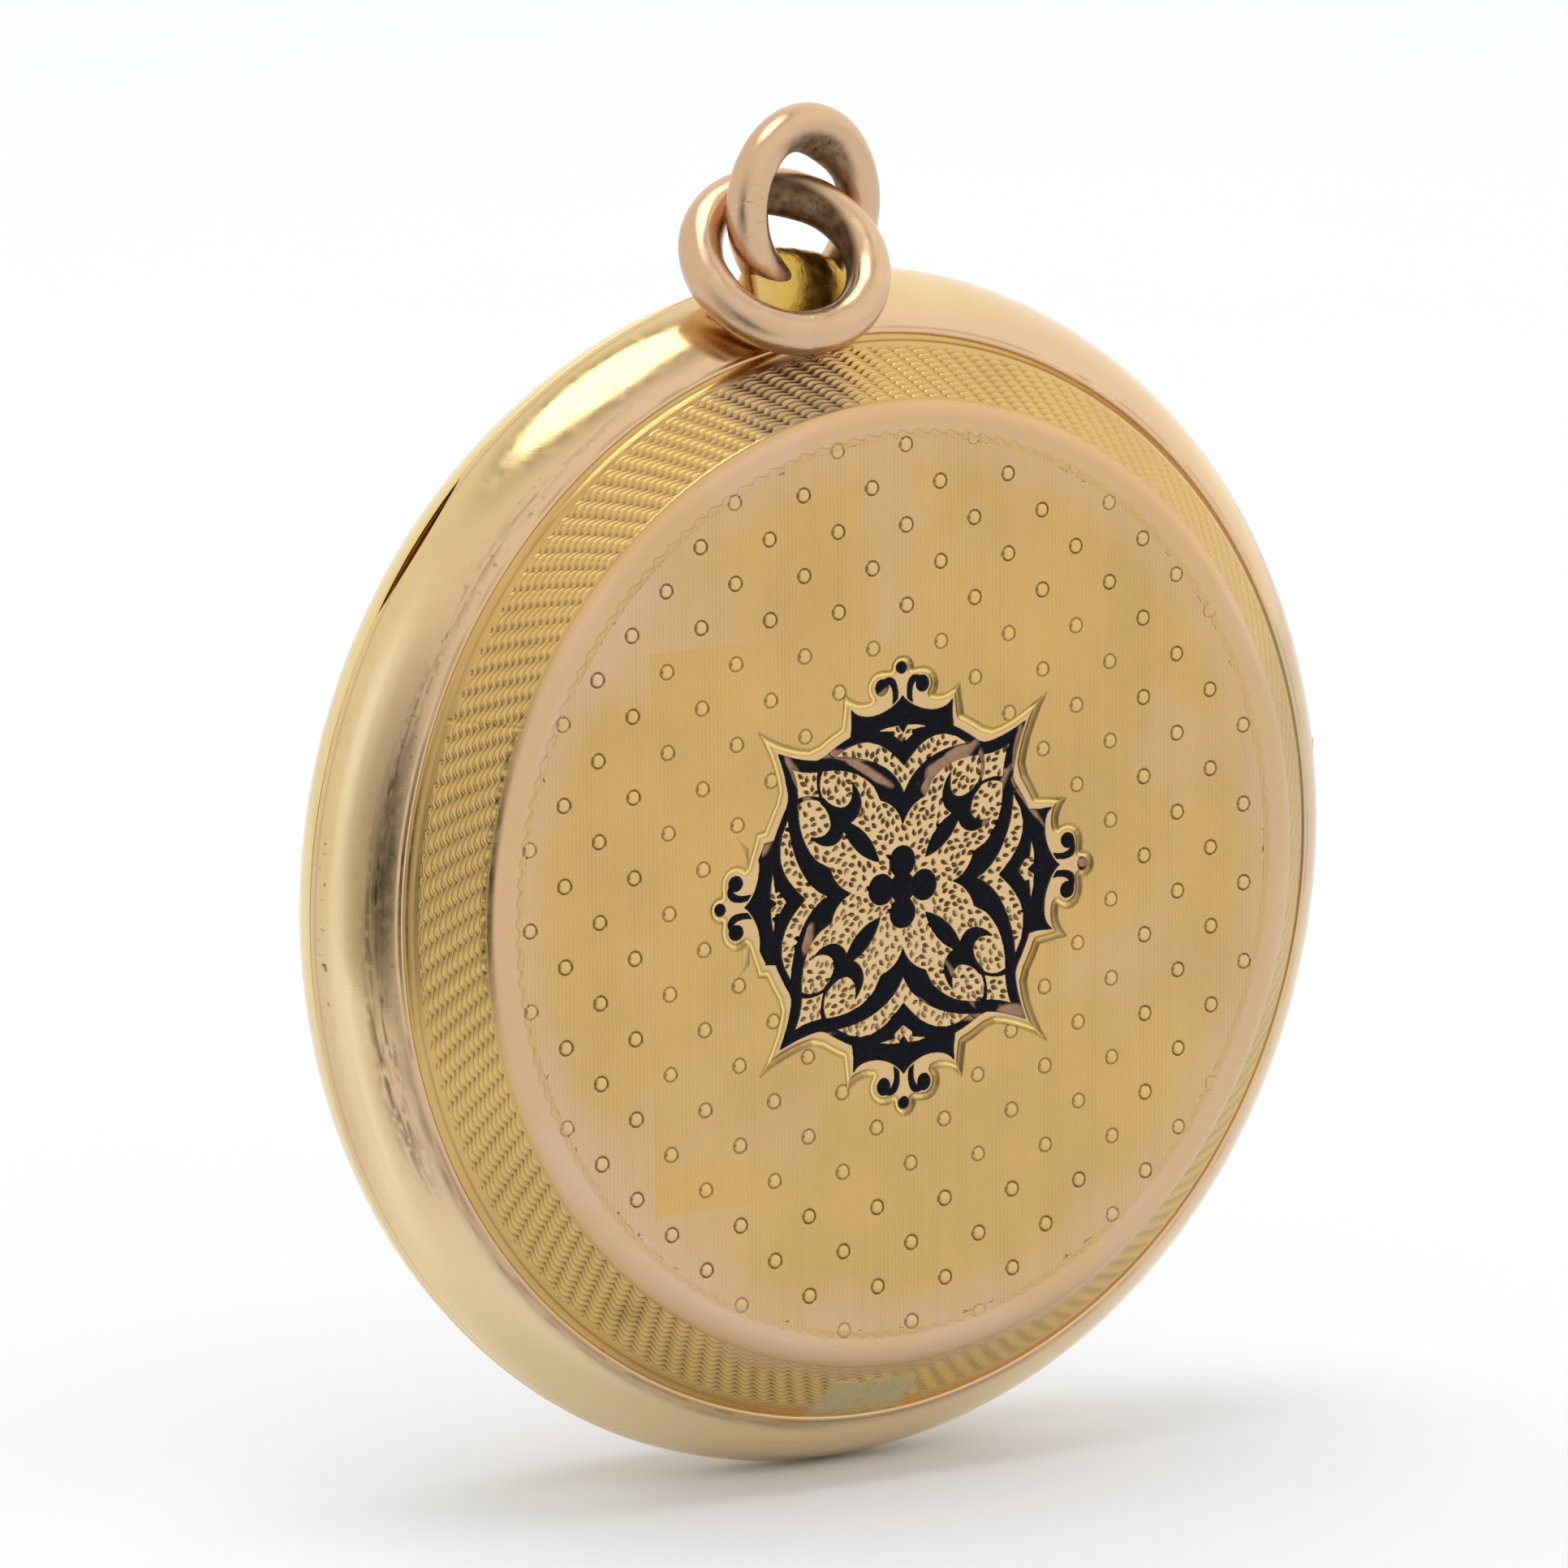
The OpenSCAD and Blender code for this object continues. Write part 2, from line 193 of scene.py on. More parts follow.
class Graph:
    """Node tree of a new material or a new world, with short calls for the nodes that are used."""

    def __init__(self, name, owners=bpy.data.materials, target="Principled BSDF"):
        self.owner = owners.new(name)
        self.owner.use_nodes = True
        self.tree = self.owner.node_tree
        self.target = self.tree.nodes[target]
        self.places = self.add("ShaderNodeTexCoord").outputs
        self.normal = None

    def put(self, node, inputs):
        """Each input gets a link from an output, or a plain value."""
        for key, value in (inputs or {}).items():
            if isinstance(value, bpy.types.NodeSocket):
                self.tree.links.new(value, node.inputs[key])
            else:
                node.inputs[key].default_value = value

    def feed(self, inputs):
        self.put(self.target, inputs)

    def add(self, kind, inputs=None, **settings):
        node = self.tree.nodes.new(kind)
        for key, value in settings.items():
            setattr(node, key, value)
        self.put(node, inputs)
        return node

    def noise(self, scale, detail=3.0, rough=0.55, stretch=(1, 1, 1)):
        """Noise factor in the object's own coordinates; scale is in bumps per millimetre."""
        factor = [scale / MM * s for s in stretch]
        place = self.add("ShaderNodeMapping", {"Vector": self.places["Object"], "Scale": factor}).outputs["Vector"]
        inputs = {"Vector": place, "Scale": 1.0, "Detail": detail, "Roughness": rough}
        return self.add("ShaderNodeTexNoise", inputs).outputs["Fac"]

    def remap(self, value, a, b, c, d):
        """Value carried from the range a to b over to the range c to d."""
        inputs = {"Value": value, "From Min": a, "From Max": b, "To Min": c, "To Max": d}
        return self.add("ShaderNodeMapRange", inputs).outputs["Result"]

    def math(self, operation, a, b):
        return self.add("ShaderNodeMath", {0: a, 1: b}, operation=operation).outputs[0]

    def mix(self, factor, a, b):
        """Colour between a and b, each a tuple or an output."""
        a, b = ((*v, 1) if isinstance(v, tuple) else v for v in (a, b))
        return self.add("ShaderNodeMix", {"Factor": factor, 6: a, 7: b}, data_type="RGBA").outputs[2]

    def mark(self, name):
        return self.add("ShaderNodeAttribute", attribute_name=name).outputs["Fac"]

    def bump(self, height, strength, distance):
        """Relief on top of what the earlier calls gave; distance in millimetres."""
        inputs = {"Height": height, "Strength": strength, "Distance": distance * MM}
        if self.normal:
            inputs["Normal"] = self.normal
        self.normal = self.add("ShaderNodeBump", inputs).outputs["Normal"]
        self.feed({"Normal": self.normal})


# Dark colour of tarnish and dirt, also used for painted shade.
TARNISH_AND_SHADE = (0.1, 0.055, 0.025)
# Colours of the marks. Each mark is an attribute of the mesh from 0 to 1; one that a mesh lacks reads as 0. The dark
# colour stands for tarnish and dirt and also for painted shade and a painted reflection; the pale one is only painted
# highlight and painted reflection; the bright one is partly painted highlight.
MARKS = {"rosy": (0.66, 0.44, 0.285), "solder": (0.58, 0.5, 0.3), "bright": (0.9, 0.7, 0.24),
         "pale": (0.97, 0.79, 0.5), "dark": TARNISH_AND_SHADE}
# A wave texture of scale 1 repeats every 0.314 units.
WAVE_LENGTH = 0.314


def gold(name, light, deep, rough=(0.14, 0.3), stripes=False, marked=True, lumps=0.0, grain=0.35):
    """Worn polished gold: two tones that drift into each other, the marks' colours, which hold tarnish and dirt and
    painted shade and highlights, hair scratches and small pits.
    """
    g = Graph(name)
    colour = g.mix(g.remap(g.noise(0.22, 4), 0.38, 0.64, 0, 1), light, deep)
    roughness = g.remap(g.noise(2.2, 4), 0.3, 0.7, *rough)
    if marked:
        for mark, tone in MARKS.items():
            colour = g.mix(g.mark(mark), colour, tone)
        roughness = g.math("ADD", roughness, g.math("MULTIPLY", g.mark("dark"), 0.3))
    g.bump(g.noise(1.6, 5, 0.7, (1, 1, 14)), grain, 0.0035)
    g.bump(g.noise(9.0, 2), grain * 0.7, 0.0022)
    if lumps:
        g.bump(g.noise(1.7, 3), lumps, 0.05)
    if stripes:
        wave = g.add("ShaderNodeTexWave", {
            "Vector": g.places["Object"], "Scale": WAVE_LENGTH / STRIPE_PITCH / MM, "Distortion": 0.6,
            "Detail": 2.0, "Detail Scale": 0.02}, wave_type="BANDS", bands_direction="X", wave_profile="SIN")
        amount = g.math("MULTIPLY", wave.outputs["Fac"], g.mark("striped"))
        column = g.noise(2.6, 3, 0.6, (1, 1, 0.03))
        amount = g.math("MULTIPLY", amount, g.remap(column, 0.3, 0.7, 0.2, 1.0))
        # The stripes are also darkened in colour along the wave: painted shade.
        colour = g.mix(g.math("MULTIPLY", amount, 0.13), colour, TARNISH_AND_SHADE)
        g.bump(amount, 0.9, 0.016)
    g.feed({"Base Color": colour, "Metallic": 1.0, "Roughness": roughness})
    return g.owner


def enamel_material():
    g = Graph("black_enamel")
    loss = g.mark("loss")
    speck = g.remap(g.noise(9.0, 3), 0.55, 0.8, 0, 1)
    black = g.mix(speck, (0.0015, 0.0015, 0.004), (0.01, 0.009, 0.013))
    bare = g.mix(g.noise(5.0, 4), (0.22, 0.115, 0.07), (0.5, 0.315, 0.205))
    g.feed({"Base Color": g.mix(loss, black, bare), "Metallic": g.math("MULTIPLY", loss, 0.8),
            "Roughness": g.remap(loss, 0, 1, 0.13, 0.5), "IOR": 1.3, "Specular IOR Level": 0.22})
    g.bump(g.noise(3.0, 4), 0.3, 0.008)
    g.bump(g.noise(14.0, 3), 0.25, 0.004)
    return g.owner


def glass_material():
    g = Graph("clear_glass")
    g.feed({"Base Color": (0.93, 0.97, 0.96, 1), "Transmission Weight": 1.0, "Alpha": 0.22, "IOR": 1.5,
            "Roughness": g.remap(g.noise(0.8, 4), 0.4, 0.75, 0.0, 0.12)})
    g.bump(g.noise(0.3, 2), 0.2, 0.01)
    return g.owner


def paper_material():
    g = Graph("paper_card")
    stain = g.remap(g.noise(0.12, 5), 0.4, 0.7, 0, 1)
    fibre = g.noise(3.0, 6, 0.7)
    base = g.mix(stain, (0.6, 0.5, 0.36), (0.42, 0.31, 0.19))
    base = g.mix(g.remap(fibre, 0.4, 0.7, 0, 0.35), base, (0.7, 0.62, 0.48))
    g.feed({"Base Color": base, "Roughness": 0.85})
    g.bump(fibre, 0.5, 0.02)
    return g.owner


face_gold = gold("face_gold", (0.64, 0.415, 0.148), (0.58, 0.375, 0.14), stripes=True)
rim_gold = gold("rim_gold", (0.75, 0.56, 0.27), (0.71, 0.51, 0.245), rough=(0.1, 0.24))
inner_gold = gold("inner_gold", (0.7, 0.48, 0.18), (0.64, 0.4, 0.15), rough=(0.16, 0.32), marked=False)
ring_gold = gold("ring_gold", (0.68, 0.475, 0.3), (0.58, 0.37, 0.21), rough=(0.2, 0.34), grain=0.6)
foot_gold = gold("foot_gold", (0.72, 0.5, 0.1), (0.5, 0.29, 0.05), rough=(0.16, 0.34), lumps=0.5)
black_enamel = enamel_material()
clear_glass = glass_material()
paper_card = paper_material()


# ---- Engine-turned band


def band_pattern(angle, s):
    """Height of the engine turning; angle in degrees, s down the slope from the outer groove."""
    phase = (angle + 0.45 * s / ROW_STEP) / ARCH_TURN
    arch = np.abs(np.sin(np.pi * phase))
    row = (s - 0.05 + 0.12 * arch) / ROW_STEP
    cut = row - np.floor(row)
    ridge = np.where(cut < 0.3, cut / 0.3, (1 - cut) / 0.7)
    height = 0.05 * (ridge - 0.75) + 0.036 * (arch - 0.55)
    worn = 1 - 0.35 * window(-40, -10, 50, 75, wrap(angle))
    inner_edge = smooth(1.35, 1.85, s + 0.2 * bumps(angle / 4, s * 2, 5))
    worn *= 1 - 0.75 * lowest_part(angle) * inner_edge
    return height * window(0.13, 0.22, 1.99, 2.06, s) * worn


def lowest_part(angle):
    """Where the case rubs most, along its bottom."""
    return window(236, 250, 300, 318, angle)


def nearest_dot(x, z):
    """Distance to the nearest engraved ring's centre, the ring's radius and how fresh it is."""
    column, row = (x - DOT_X) / DOT_DX, (DOT_Z - z) / DOT_DZ
    u, v = np.round(column), np.round(row)
    # A lattice point of the wrong colour has no ring, and the nearest one is beside, above or below it.
    empty = (u + v) % 2 != 0
    du, dv = column - u, row - v
    side = np.abs(du) > np.abs(dv)
    u = np.where(empty & side, u + np.where(du < 0, -1, 1), u)
    v = np.where(empty & ~side, v + np.where(dv < 0, -1, 1), v)
    cx = DOT_X + DOT_DX * u
    cz = DOT_Z - DOT_DZ * v
    rho = np.hypot(x - cx, z - cz)
    jitter = 0.5 + 0.5 * bumps(u * 3.7 + 0.5, v * 5.3 + 0.5, 21)
    worn = smooth(12.2, 13.0, np.hypot(cx, cz))
    return rho, 0.195 + 0.014 * jitter, 1 - 0.75 * worn


def dot_height(x, z):
    """Engraved rings on the plate, each with a slightly raised middle."""
    rho, radius, fresh = nearest_dot(x, z)
    ring = -0.05 * bell(rho, radius, 0.024)
    middle = 0.034 * np.clip(1 - (rho / radius) ** 2, 0, 1)
    return (ring + middle) * fresh


def dot_marks(x, z):
    """Darker colour along the engraved rings, and the brighter gold inside them."""
    rho, radius, fresh = nearest_dot(x, z)
    ring_line_dark = 0.74 * bell(rho - radius, 0.004, 0.021) * fresh
    return ring_line_dark, 0.16 * smooth(0.19, 0.12, rho) * fresh


WAVE_DEPTH = 0.02


def border_wave(angle, r):
    """Fine wavy line round the striped field."""
    phase = angle / ARCH_TURN
    f = phase - np.floor(phase)
    saw = np.where(f < 0.68, f / 0.68, (1 - f) / 0.32)
    line = 12.78 + 0.062 * np.sin(np.pi * (saw - 0.5))
    strength = 0.35 + 0.65 * window(60, 85, 185, 215, angle)
    return -WAVE_DEPTH * strength * bell(r, line, 0.026)


# Kinds of station down a face; in the band the kind is the slope distance itself, and on the shoulder it is
# SHOULDER plus the way along it.
LIP_KIND, SHOULDER, BORDER = -1, 10, 20


def face_profile():
    """Stations down the visible face from the lip to the flat: radius, depth, their normal and the kind."""
    normal = (BAND_IN - BAND_OUT)[::-1] * np.array([1, -1])
    normal = normal / np.linalg.norm(normal)
    length = np.linalg.norm(BAND_IN - BAND_OUT)
    lip = [ARC_C + LIP_DIR * 2.9, (15.275, 2.235), (15.2, 2.3), (15.165, 2.355), (15.15, 2.385)]
    stations = [(r, d, 0.7, 0.7, LIP_KIND) for r, d in lip]
    for s in np.linspace(0, length, 112):
        p = BAND_OUT + (BAND_IN - BAND_OUT) * s / length
        stations.append((p[0], p[1], abs(normal[0]), abs(normal[1]), s))
    a, b, c, d = BAND_IN, BAND_IN + [-0.2, 0.17], BAND_IN + [-0.4, 0.23], np.array([12.87, PLATE])
    for t in np.linspace(0.05, 1, 20):
        p = (1 - t) ** 3 * a + 3 * (1 - t) ** 2 * t * b + 3 * (1 - t) * t * t * c + t**3 * d
        lean = 0.7 * (1 - t) ** 1.5
        stations.append((p[0], p[1], lean, sqrt(1 - lean * lean), SHOULDER + t))
    for r in np.arange(12.85, FLAT_R - 0.04, -0.024):
        stations.append((r, PLATE, 0, 1, BORDER))
    return np.array(stations)


def face_ring(sign, with_front_detail):
    """The ring-shaped part of a face: lip, groove, engine-turned band, shoulder and border."""
    st = face_profile()
    turns = 144 * 12
    angle = np.arange(turns) * 360 / turns
    a, r = np.meshgrid(angle, st[:, 0], indexing="ij")
    d, nr, nd, kind = (np.broadcast_to(st[:, k], a.shape) for k in (1, 2, 3, 4))
    band = (kind >= 0) & (kind < SHOULDER)
    border = kind >= BORDER
    lift = np.where(band, band_pattern(a, kind), 0.0) + np.where(border, border_wave(a, r), 0)
    lift += np.where(kind > SHOULDER + 0.5, 0.003 * bumps(a / 12, r * 6, 31), 0)
    solder, dark, bright = (np.zeros_like(a) for _ in range(3))
    rosy = smooth(13.75, 13.45, r) * (0.75 + 0.25 * bumps(a / 25, r, 40))
    rosy *= 1 - 0.9 * smooth(12.9, 12.6, r)
    rosy += 0.35 * smooth(0.2, 0.8, bumps(a / 14, r * 0.8, 41) + 0.3) * (r < 13.5)
    if with_front_detail:
        x, z = r * np.cos(np.radians(a)), r * np.sin(np.radians(a))
        lift += np.where(border, dot_height(x, z), 0)
        ring_line_dark, gleam = dot_marks(x, z)
        dark += ring_line_dark * border
        bright += gleam * border
        # The solder repair at the bottom, which fills the pattern.
        edge = 0.12 * fractal(a * 0.9, r * 4, 50)
        patch = window(262, 263.2, 273.5, 275, a + 6 * edge) * smooth(14.15, 14.25, r + edge) * (r > 13.9)
        lift = lift * (1 - patch) + patch * (0.012 + 0.006 * fractal(a * 2, r * 6, 52))
        solder += patch
        # Painted reflection of the jump ring on the band under it, copper toned.
        ring_reflection = window(92, 98, 106, 113, a) * band
        rosy += 0.55 * ring_reflection
        dark += ring_reflection * (0.3 + 0.15 * bumps(a, r * 5, 53) + 0.5 * np.clip(-lift / 0.05, 0, 1))
        # A stain, the tool's overrun strokes along the shoulder, the rubbed low part and one slipped cut.
        dark += 0.25 * bell(a, 232.5, 1.6) * bell(r, 14.3, 0.35)
        strokes = window(150, 160, 183, 190, a) * bell(r, 13.74, 0.05)
        dark += 0.6 * strokes * (bumps(a * 3, r * 3, 54) > 0.05)
        rosy += 0.5 * lowest_part(a) * smooth(14.3, 13.8, r) * band
        lift -= 0.02 * bell(a - 156.5, (r - 14.4) * 1.2, 0.1) * band
    # Darker colour down in the band's grooves: painted shade.
    groove = np.where(band, np.clip(-lift / 0.055, 0, 1), 0)
    dark += 0.85 * groove**1.8
    bright += np.where(band, 0.45 * smooth(0.004, 0.024, lift), 0)
    dark += 0.3 * np.where(border, np.clip(-border_wave(a, r) / WAVE_DEPTH, 0, 1), 0)
    dark += 0.3 * bell(r, 15.145, 0.02) + 0.22 * bell(r, 13.665, 0.018)
    depth = d + nd * lift
    # The last points dip under the flat, so that no gap shows between the two.
    depth[:, -1] -= 0.02
    co = turned(r + nr * lift, np.radians(a), -sign * depth).reshape(-1, 3)
    faces = oriented(co, grid_faces(turns, len(st), wrap_rows=True), (0, -sign, 0))
    return co, faces, marks(rosy=rosy, solder=solder, dark=dark, bright=bright, striped=smooth(12.86, 12.74, r))


# ---- Ornament


def curve(p, q, r, s, steps=8):
    t = np.linspace(0, 1, steps + 1)[1:, None]
    p, q, r, s = (np.array(v, float) for v in (p, q, r, s))
    u = 1 - t
    return u**3 * p + 3 * u * u * t * q + 3 * u * t * t * r + t**3 * s


def path(*parts):
    return np.concatenate([np.atleast_2d(np.array(p, float)) for p in parts])


def two_sided(half):
    left = half[1:-1][::-1] * np.array([-1, 1])
    return np.concatenate([half, left])


def depth_in(px, pz, polygon):
    """Distance to a closed outline, positive inside."""
    best = np.full(px.shape, 1e9)
    inside = np.zeros(px.shape, bool)
    count = len(polygon)
    for k in range(count):
        ax, az = polygon[k]
        bx, bz = polygon[(k + 1) % count]
        ex, ez = bx - ax, bz - az
        size = ex * ex + ez * ez
        if size < 1e-12:
            continue
        wx, wz = px - ax, pz - az
        t = np.clip((wx * ex + wz * ez) / size, 0, 1)
        best = np.minimum(best, (wx - t * ex) ** 2 + (wz - t * ez) ** 2)
        crosses = (az > pz) != (bz > pz)
        if ez != 0:
            inside ^= crosses & (px < ax + (pz - az) * ex / ez)
    return np.sqrt(best) * np.where(inside, 1, -1)


def arc_points(x, z, radius, angles):
    return [(x + radius * cos(radians(t)), z + radius * sin(radians(t))) for t in angles]


# The outlines cover one wedge of the eightfold pattern, from its middle at x = 0 to the diagonal.
ENAMEL_EDGE = path((0, 5.3), curve((0, 5.3), (0.12, 5.08), (0.6, 4.76), (1.15, 4.8)),
                   curve((1.15, 4.8), (1.45, 4.84), (1.6, 4.92), (1.72, 5.1), 4), (1.7, 4.66),
                   arc_points(0, 0, 4.64, (68, 65, 62, 59, 56)),
                   curve((2.62, 3.78), (3.1, 3.76), (3.7, 3.98), (4.17, 4.17)))
FIELD_EDGE = path((0, 1.72), curve((0, 1.72), (0.12, 2.08), (0.35, 2.3), (0.75, 2.42), 6),
                  curve((0.85, 2.66), (1.1, 3.04), (1.6, 3.46), (2.62, 3.46)),
                  curve((2.62, 3.46), (2.8, 3.1), (2.72, 2.8), (2.42, 2.42), 6))
SPRIG = path((0, 1.1), curve((0, 1.1), (0.16, 1.36), (0.4, 1.9), (0.14, 2.56), 6),
             curve((0.14, 2.56), (0.5, 2.4), (0.95, 2.6), (0.98, 3.32)),
             curve((0.98, 3.32), (0.72, 2.84), (0.2, 2.74), (0.08, 3.45)), (0.08, 3.7), (0, 3.7))
CRESCENT = path((0, 3.28), curve((0, 3.28), (0.35, 3.65), (1.1, 4.6), (2.27, 3.8)),
                curve((2.27, 3.8), (1.3, 3.74), (0.3, 3.3), (0, 2.52)))
CORNER = path((0, 3.82), curve((0, 3.82), (0.14, 4.1), (0.3, 4.3), (0.48, 4.4), 4),
              curve((0.48, 4.4), (0.22, 4.7), (0.08, 4.95), (0, 5.2), 4))
NOTCH = path((0, 4.22), (0.15, 4.43), (0.5, 4.42), (0.87, 4.34), (0.3, 4.26), (0.32, 4.13), (0, 3.9))
TAIL = path((0.6, 5.84), curve((0.6, 5.84), (0.28, 5.96), (0.1, 5.7), (0.17, 5.2), 6), (0.34, 5.06),
            curve((0.34, 5.06), (0.26, 5.5), (0.4, 5.72), (0.6, 5.74), 6))
# Outer edge of the gold border, from the finial's top to the cusp.
BORDER_EDGE = path(arc_points(0, 6.12, 0.36, (90, 65, 40, 15, -8)),
                   arc_points(0.69, 5.6, 0.5, (95, 70, 45, 20, 0, -20, -42)),
                   curve((1.06, 5.26), (1.3, 5.2), (1.62, 5.24), (1.95, 5.56), 5), (2.02, 4.92),
                   arc_points(0, 0, 5.06, (66, 63, 60, 57)),
                   curve((2.82, 4.14), (3.3, 4.1), (4.2, 4.42), (4.85, 4.85), 6))
# The horns beside the left crown, which that crown lacks, in the enamel and in the border.
ENAMEL_HORN = np.array([(1.25, 4.84), (1.72, 5.16), (1.9, 4.9), (1.68, 4.62), (1.5, 4.72)])
BORDER_HORN = np.array([(1.12, 5.2), (1.62, 5.24), (1.95, 5.62), (2.12, 5.3), (2.06, 4.9), (1.9, 4.93)])
# The part of a wedge that its crown takes up.
CROWN_CUT = np.array([(0, 6), (2.1, 6), (2.44, 3.96), (2.27, 3.8), (1.2, 3.84), (0.45, 3.36), (0, 2.9)])
# Places where the engraver's pattern is pulled off its even shape: centre, size and pull.
PULLS = [(0.1, 4.6, 1.7, 0.05, 0.16), (0.0, 3.0, 0.8, 0.06, 0.05), (-5.2, 0.1, 1.2, -0.05, -0.02),
         (4.8, 4.9, 0.9, 0.1, 0.2), (-4.6, -5.0, 0.9, -0.05, 0.0), (5.0, 0.4, 1.0, 0.1, 0.1),
         (-2.6, 2.6, 1.1, -0.1, 0.1), (2.7, -2.7, 1.1, 0.08, -0.08)]
# Distance that stands for far outside an outline.
OUTSIDE = -9.0


def warp(x, z):
    """The engraver's unevenness: the top crown sits high, the left one low, and the corners pull outwards."""
    dx = np.zeros_like(x)
    dz = np.zeros_like(z)
    for cx, cz, size, sx, sz in PULLS:
        g = np.exp(-((x - cx) ** 2 + (z - cz) ** 2) / (2 * size * size))
        dx += sx * g
        dz += sz * g
    return x - dx, z - dz


def wedge_outline(edge):
    """Closed outline over a wedge and its two neighbours, so that distances are right along the mirror lines."""
    mirrored = edge[:0:-1] * np.array([-1, 1])
    swapped = edge[::-1, ::-1]
    return np.concatenate([mirrored[1:], edge, swapped[1:], [[6, -6], [-6, -6]]])


def ornament_fields(x, z):
    """Signed distances on the plate: enamel by piece, gold border, gold fields, crowns."""
    x, z = warp(x - CENTRE[0], z - CENTRE[1])
    near = np.hypot(x, z) < 7.6
    ax, az = np.abs(x[near]), np.abs(z[near])
    west = (x[near] < 0) & (ax > az)
    a, b = np.minimum(ax, az), np.maximum(ax, az)
    v = (a + b) / sqrt(2)
    u = (b - a) / sqrt(2)
    enamel = depth_in(a, b, wedge_outline(ENAMEL_EDGE))
    enamel = np.where(west, np.minimum(enamel, -depth_in(a, b, ENAMEL_HORN)), enamel)
    border = depth_in(a, b, wedge_outline(BORDER_EDGE))
    border = np.where(west, np.minimum(border, -depth_in(a, b, BORDER_HORN)), border)
    crescent = depth_in(a, b, two_sided(CRESCENT))
    corner = depth_in(u, v, two_sided(CORNER))
    notch = depth_in(a, b, two_sided(NOTCH))
    sprig = depth_in(u, v, two_sided(SPRIG))
    gold_field = np.minimum(depth_in(a, b, wedge_outline(FIELD_EDGE)), -sprig)
    flower = np.maximum(0.43 - np.hypot(a, b - 0.72), 0.42 - np.hypot(a, b))
    eye = 0.24 - np.hypot((a - 0.69) * 1.1, b - 5.6)
    dot = 0.17 - np.hypot(a, b - 6.12)
    finial = np.maximum.reduce([eye, dot, depth_in(a, b, TAIL)])
    values = {
        "network": np.minimum.reduce([enamel, -gold_field, -crescent, -notch, -corner]),
        "flower": flower,
        "finial": np.where(b > 4.9, finial, OUTSIDE),
        "border": border,
        "field": np.maximum.reduce([np.minimum(gold_field, -flower), crescent, corner, notch]),
        "crown": depth_in(a, b, two_sided(CROWN_CUT)),
    }
    out = {"x": x, "z": z}
    for key, value in values.items():
        out[key] = np.full(x.shape, OUTSIDE)
        out[key][near] = value
    return out


# Places where the enamel is gone: centre, half length, half width and turn, relative to the ornament's centre.
LOSSES = [(1.6, 3.35, 1.0, 0.22, 25), (0.95, 2.75, 0.35, 0.25, 50), (-2.0, 3.85, 1.1, 0.14, -14),
          (-1.2, 3.3, 0.9, 0.12, -35), (3.95, 3.4, 0.65, 0.14, 82), (3.2, 2.2, 0.9, 0.1, 60),
          (2.7, 3.2, 0.4, 0.12, 95), (3.2, 2.9, 0.5, 0.08, 5), (-3.45, 3.3, 0.9, 0.12, -60),
          (-3.1, 2.45, 0.5, 0.12, -80), (-3.2, -1.15, 0.45, 0.14, 70), (3.0, -4.0, 1.2, 0.12, -8),
          (3.75, -3.9, 0.5, 0.2, -15), (-2.9, -4.0, 0.5, 0.07, 12), (0.7, -3.4, 0.5, 0.08, -35),
          (1.9, -2.9, 0.8, 0.1, -55), (-0.75, 5.35, 0.3, 0.1, 40), (6.15, 0.1, 0.2, 0.2, 0),
          (0.1, 1.5, 0.12, 0.2, 0), (-1.55, 0.05, 0.25, 0.08, 0), (-4.5, 1.7, 0.35, 0.1, 60),
          (4.6, -2.1, 0.3, 0.08, -60), (4.3, 1.9, 0.9, 0.08, -55)]


def loss_field(x, z):
    """1 where the enamel is gone, with ragged edges."""
    total = np.zeros(x.shape)
    rough_edge = 0.3 * fractal(x * 3.1 + 9, z * 3.1 + 9, 60)
    for cx, cz, length, width, turn in LOSSES:
        c, s = cos(radians(turn)), sin(radians(turn))
        p = ((x - cx) * c + (z - cz) * s) / length
        q = (-(x - cx) * s + (z - cz) * c) / width
        total = np.maximum(total, smooth(1.25, 0.85, np.hypot(p, q) + rough_edge))
    return total


# Half axes of the ellipse that each nick keeps free round its middle, and how many places are tried.
NICK_ALONG, NICK_ACROSS = 0.245, 0.135
NICK_TRIES = 26000


def crowds(dx, dz, c, s):
    """Whether a point lies in the ellipse of a nick that points along c and s."""
    return (dx * c + dz * s) ** 2 / NICK_ALONG**2 + (dz * c - dx * s) ** 2 / NICK_ACROSS**2 < 1


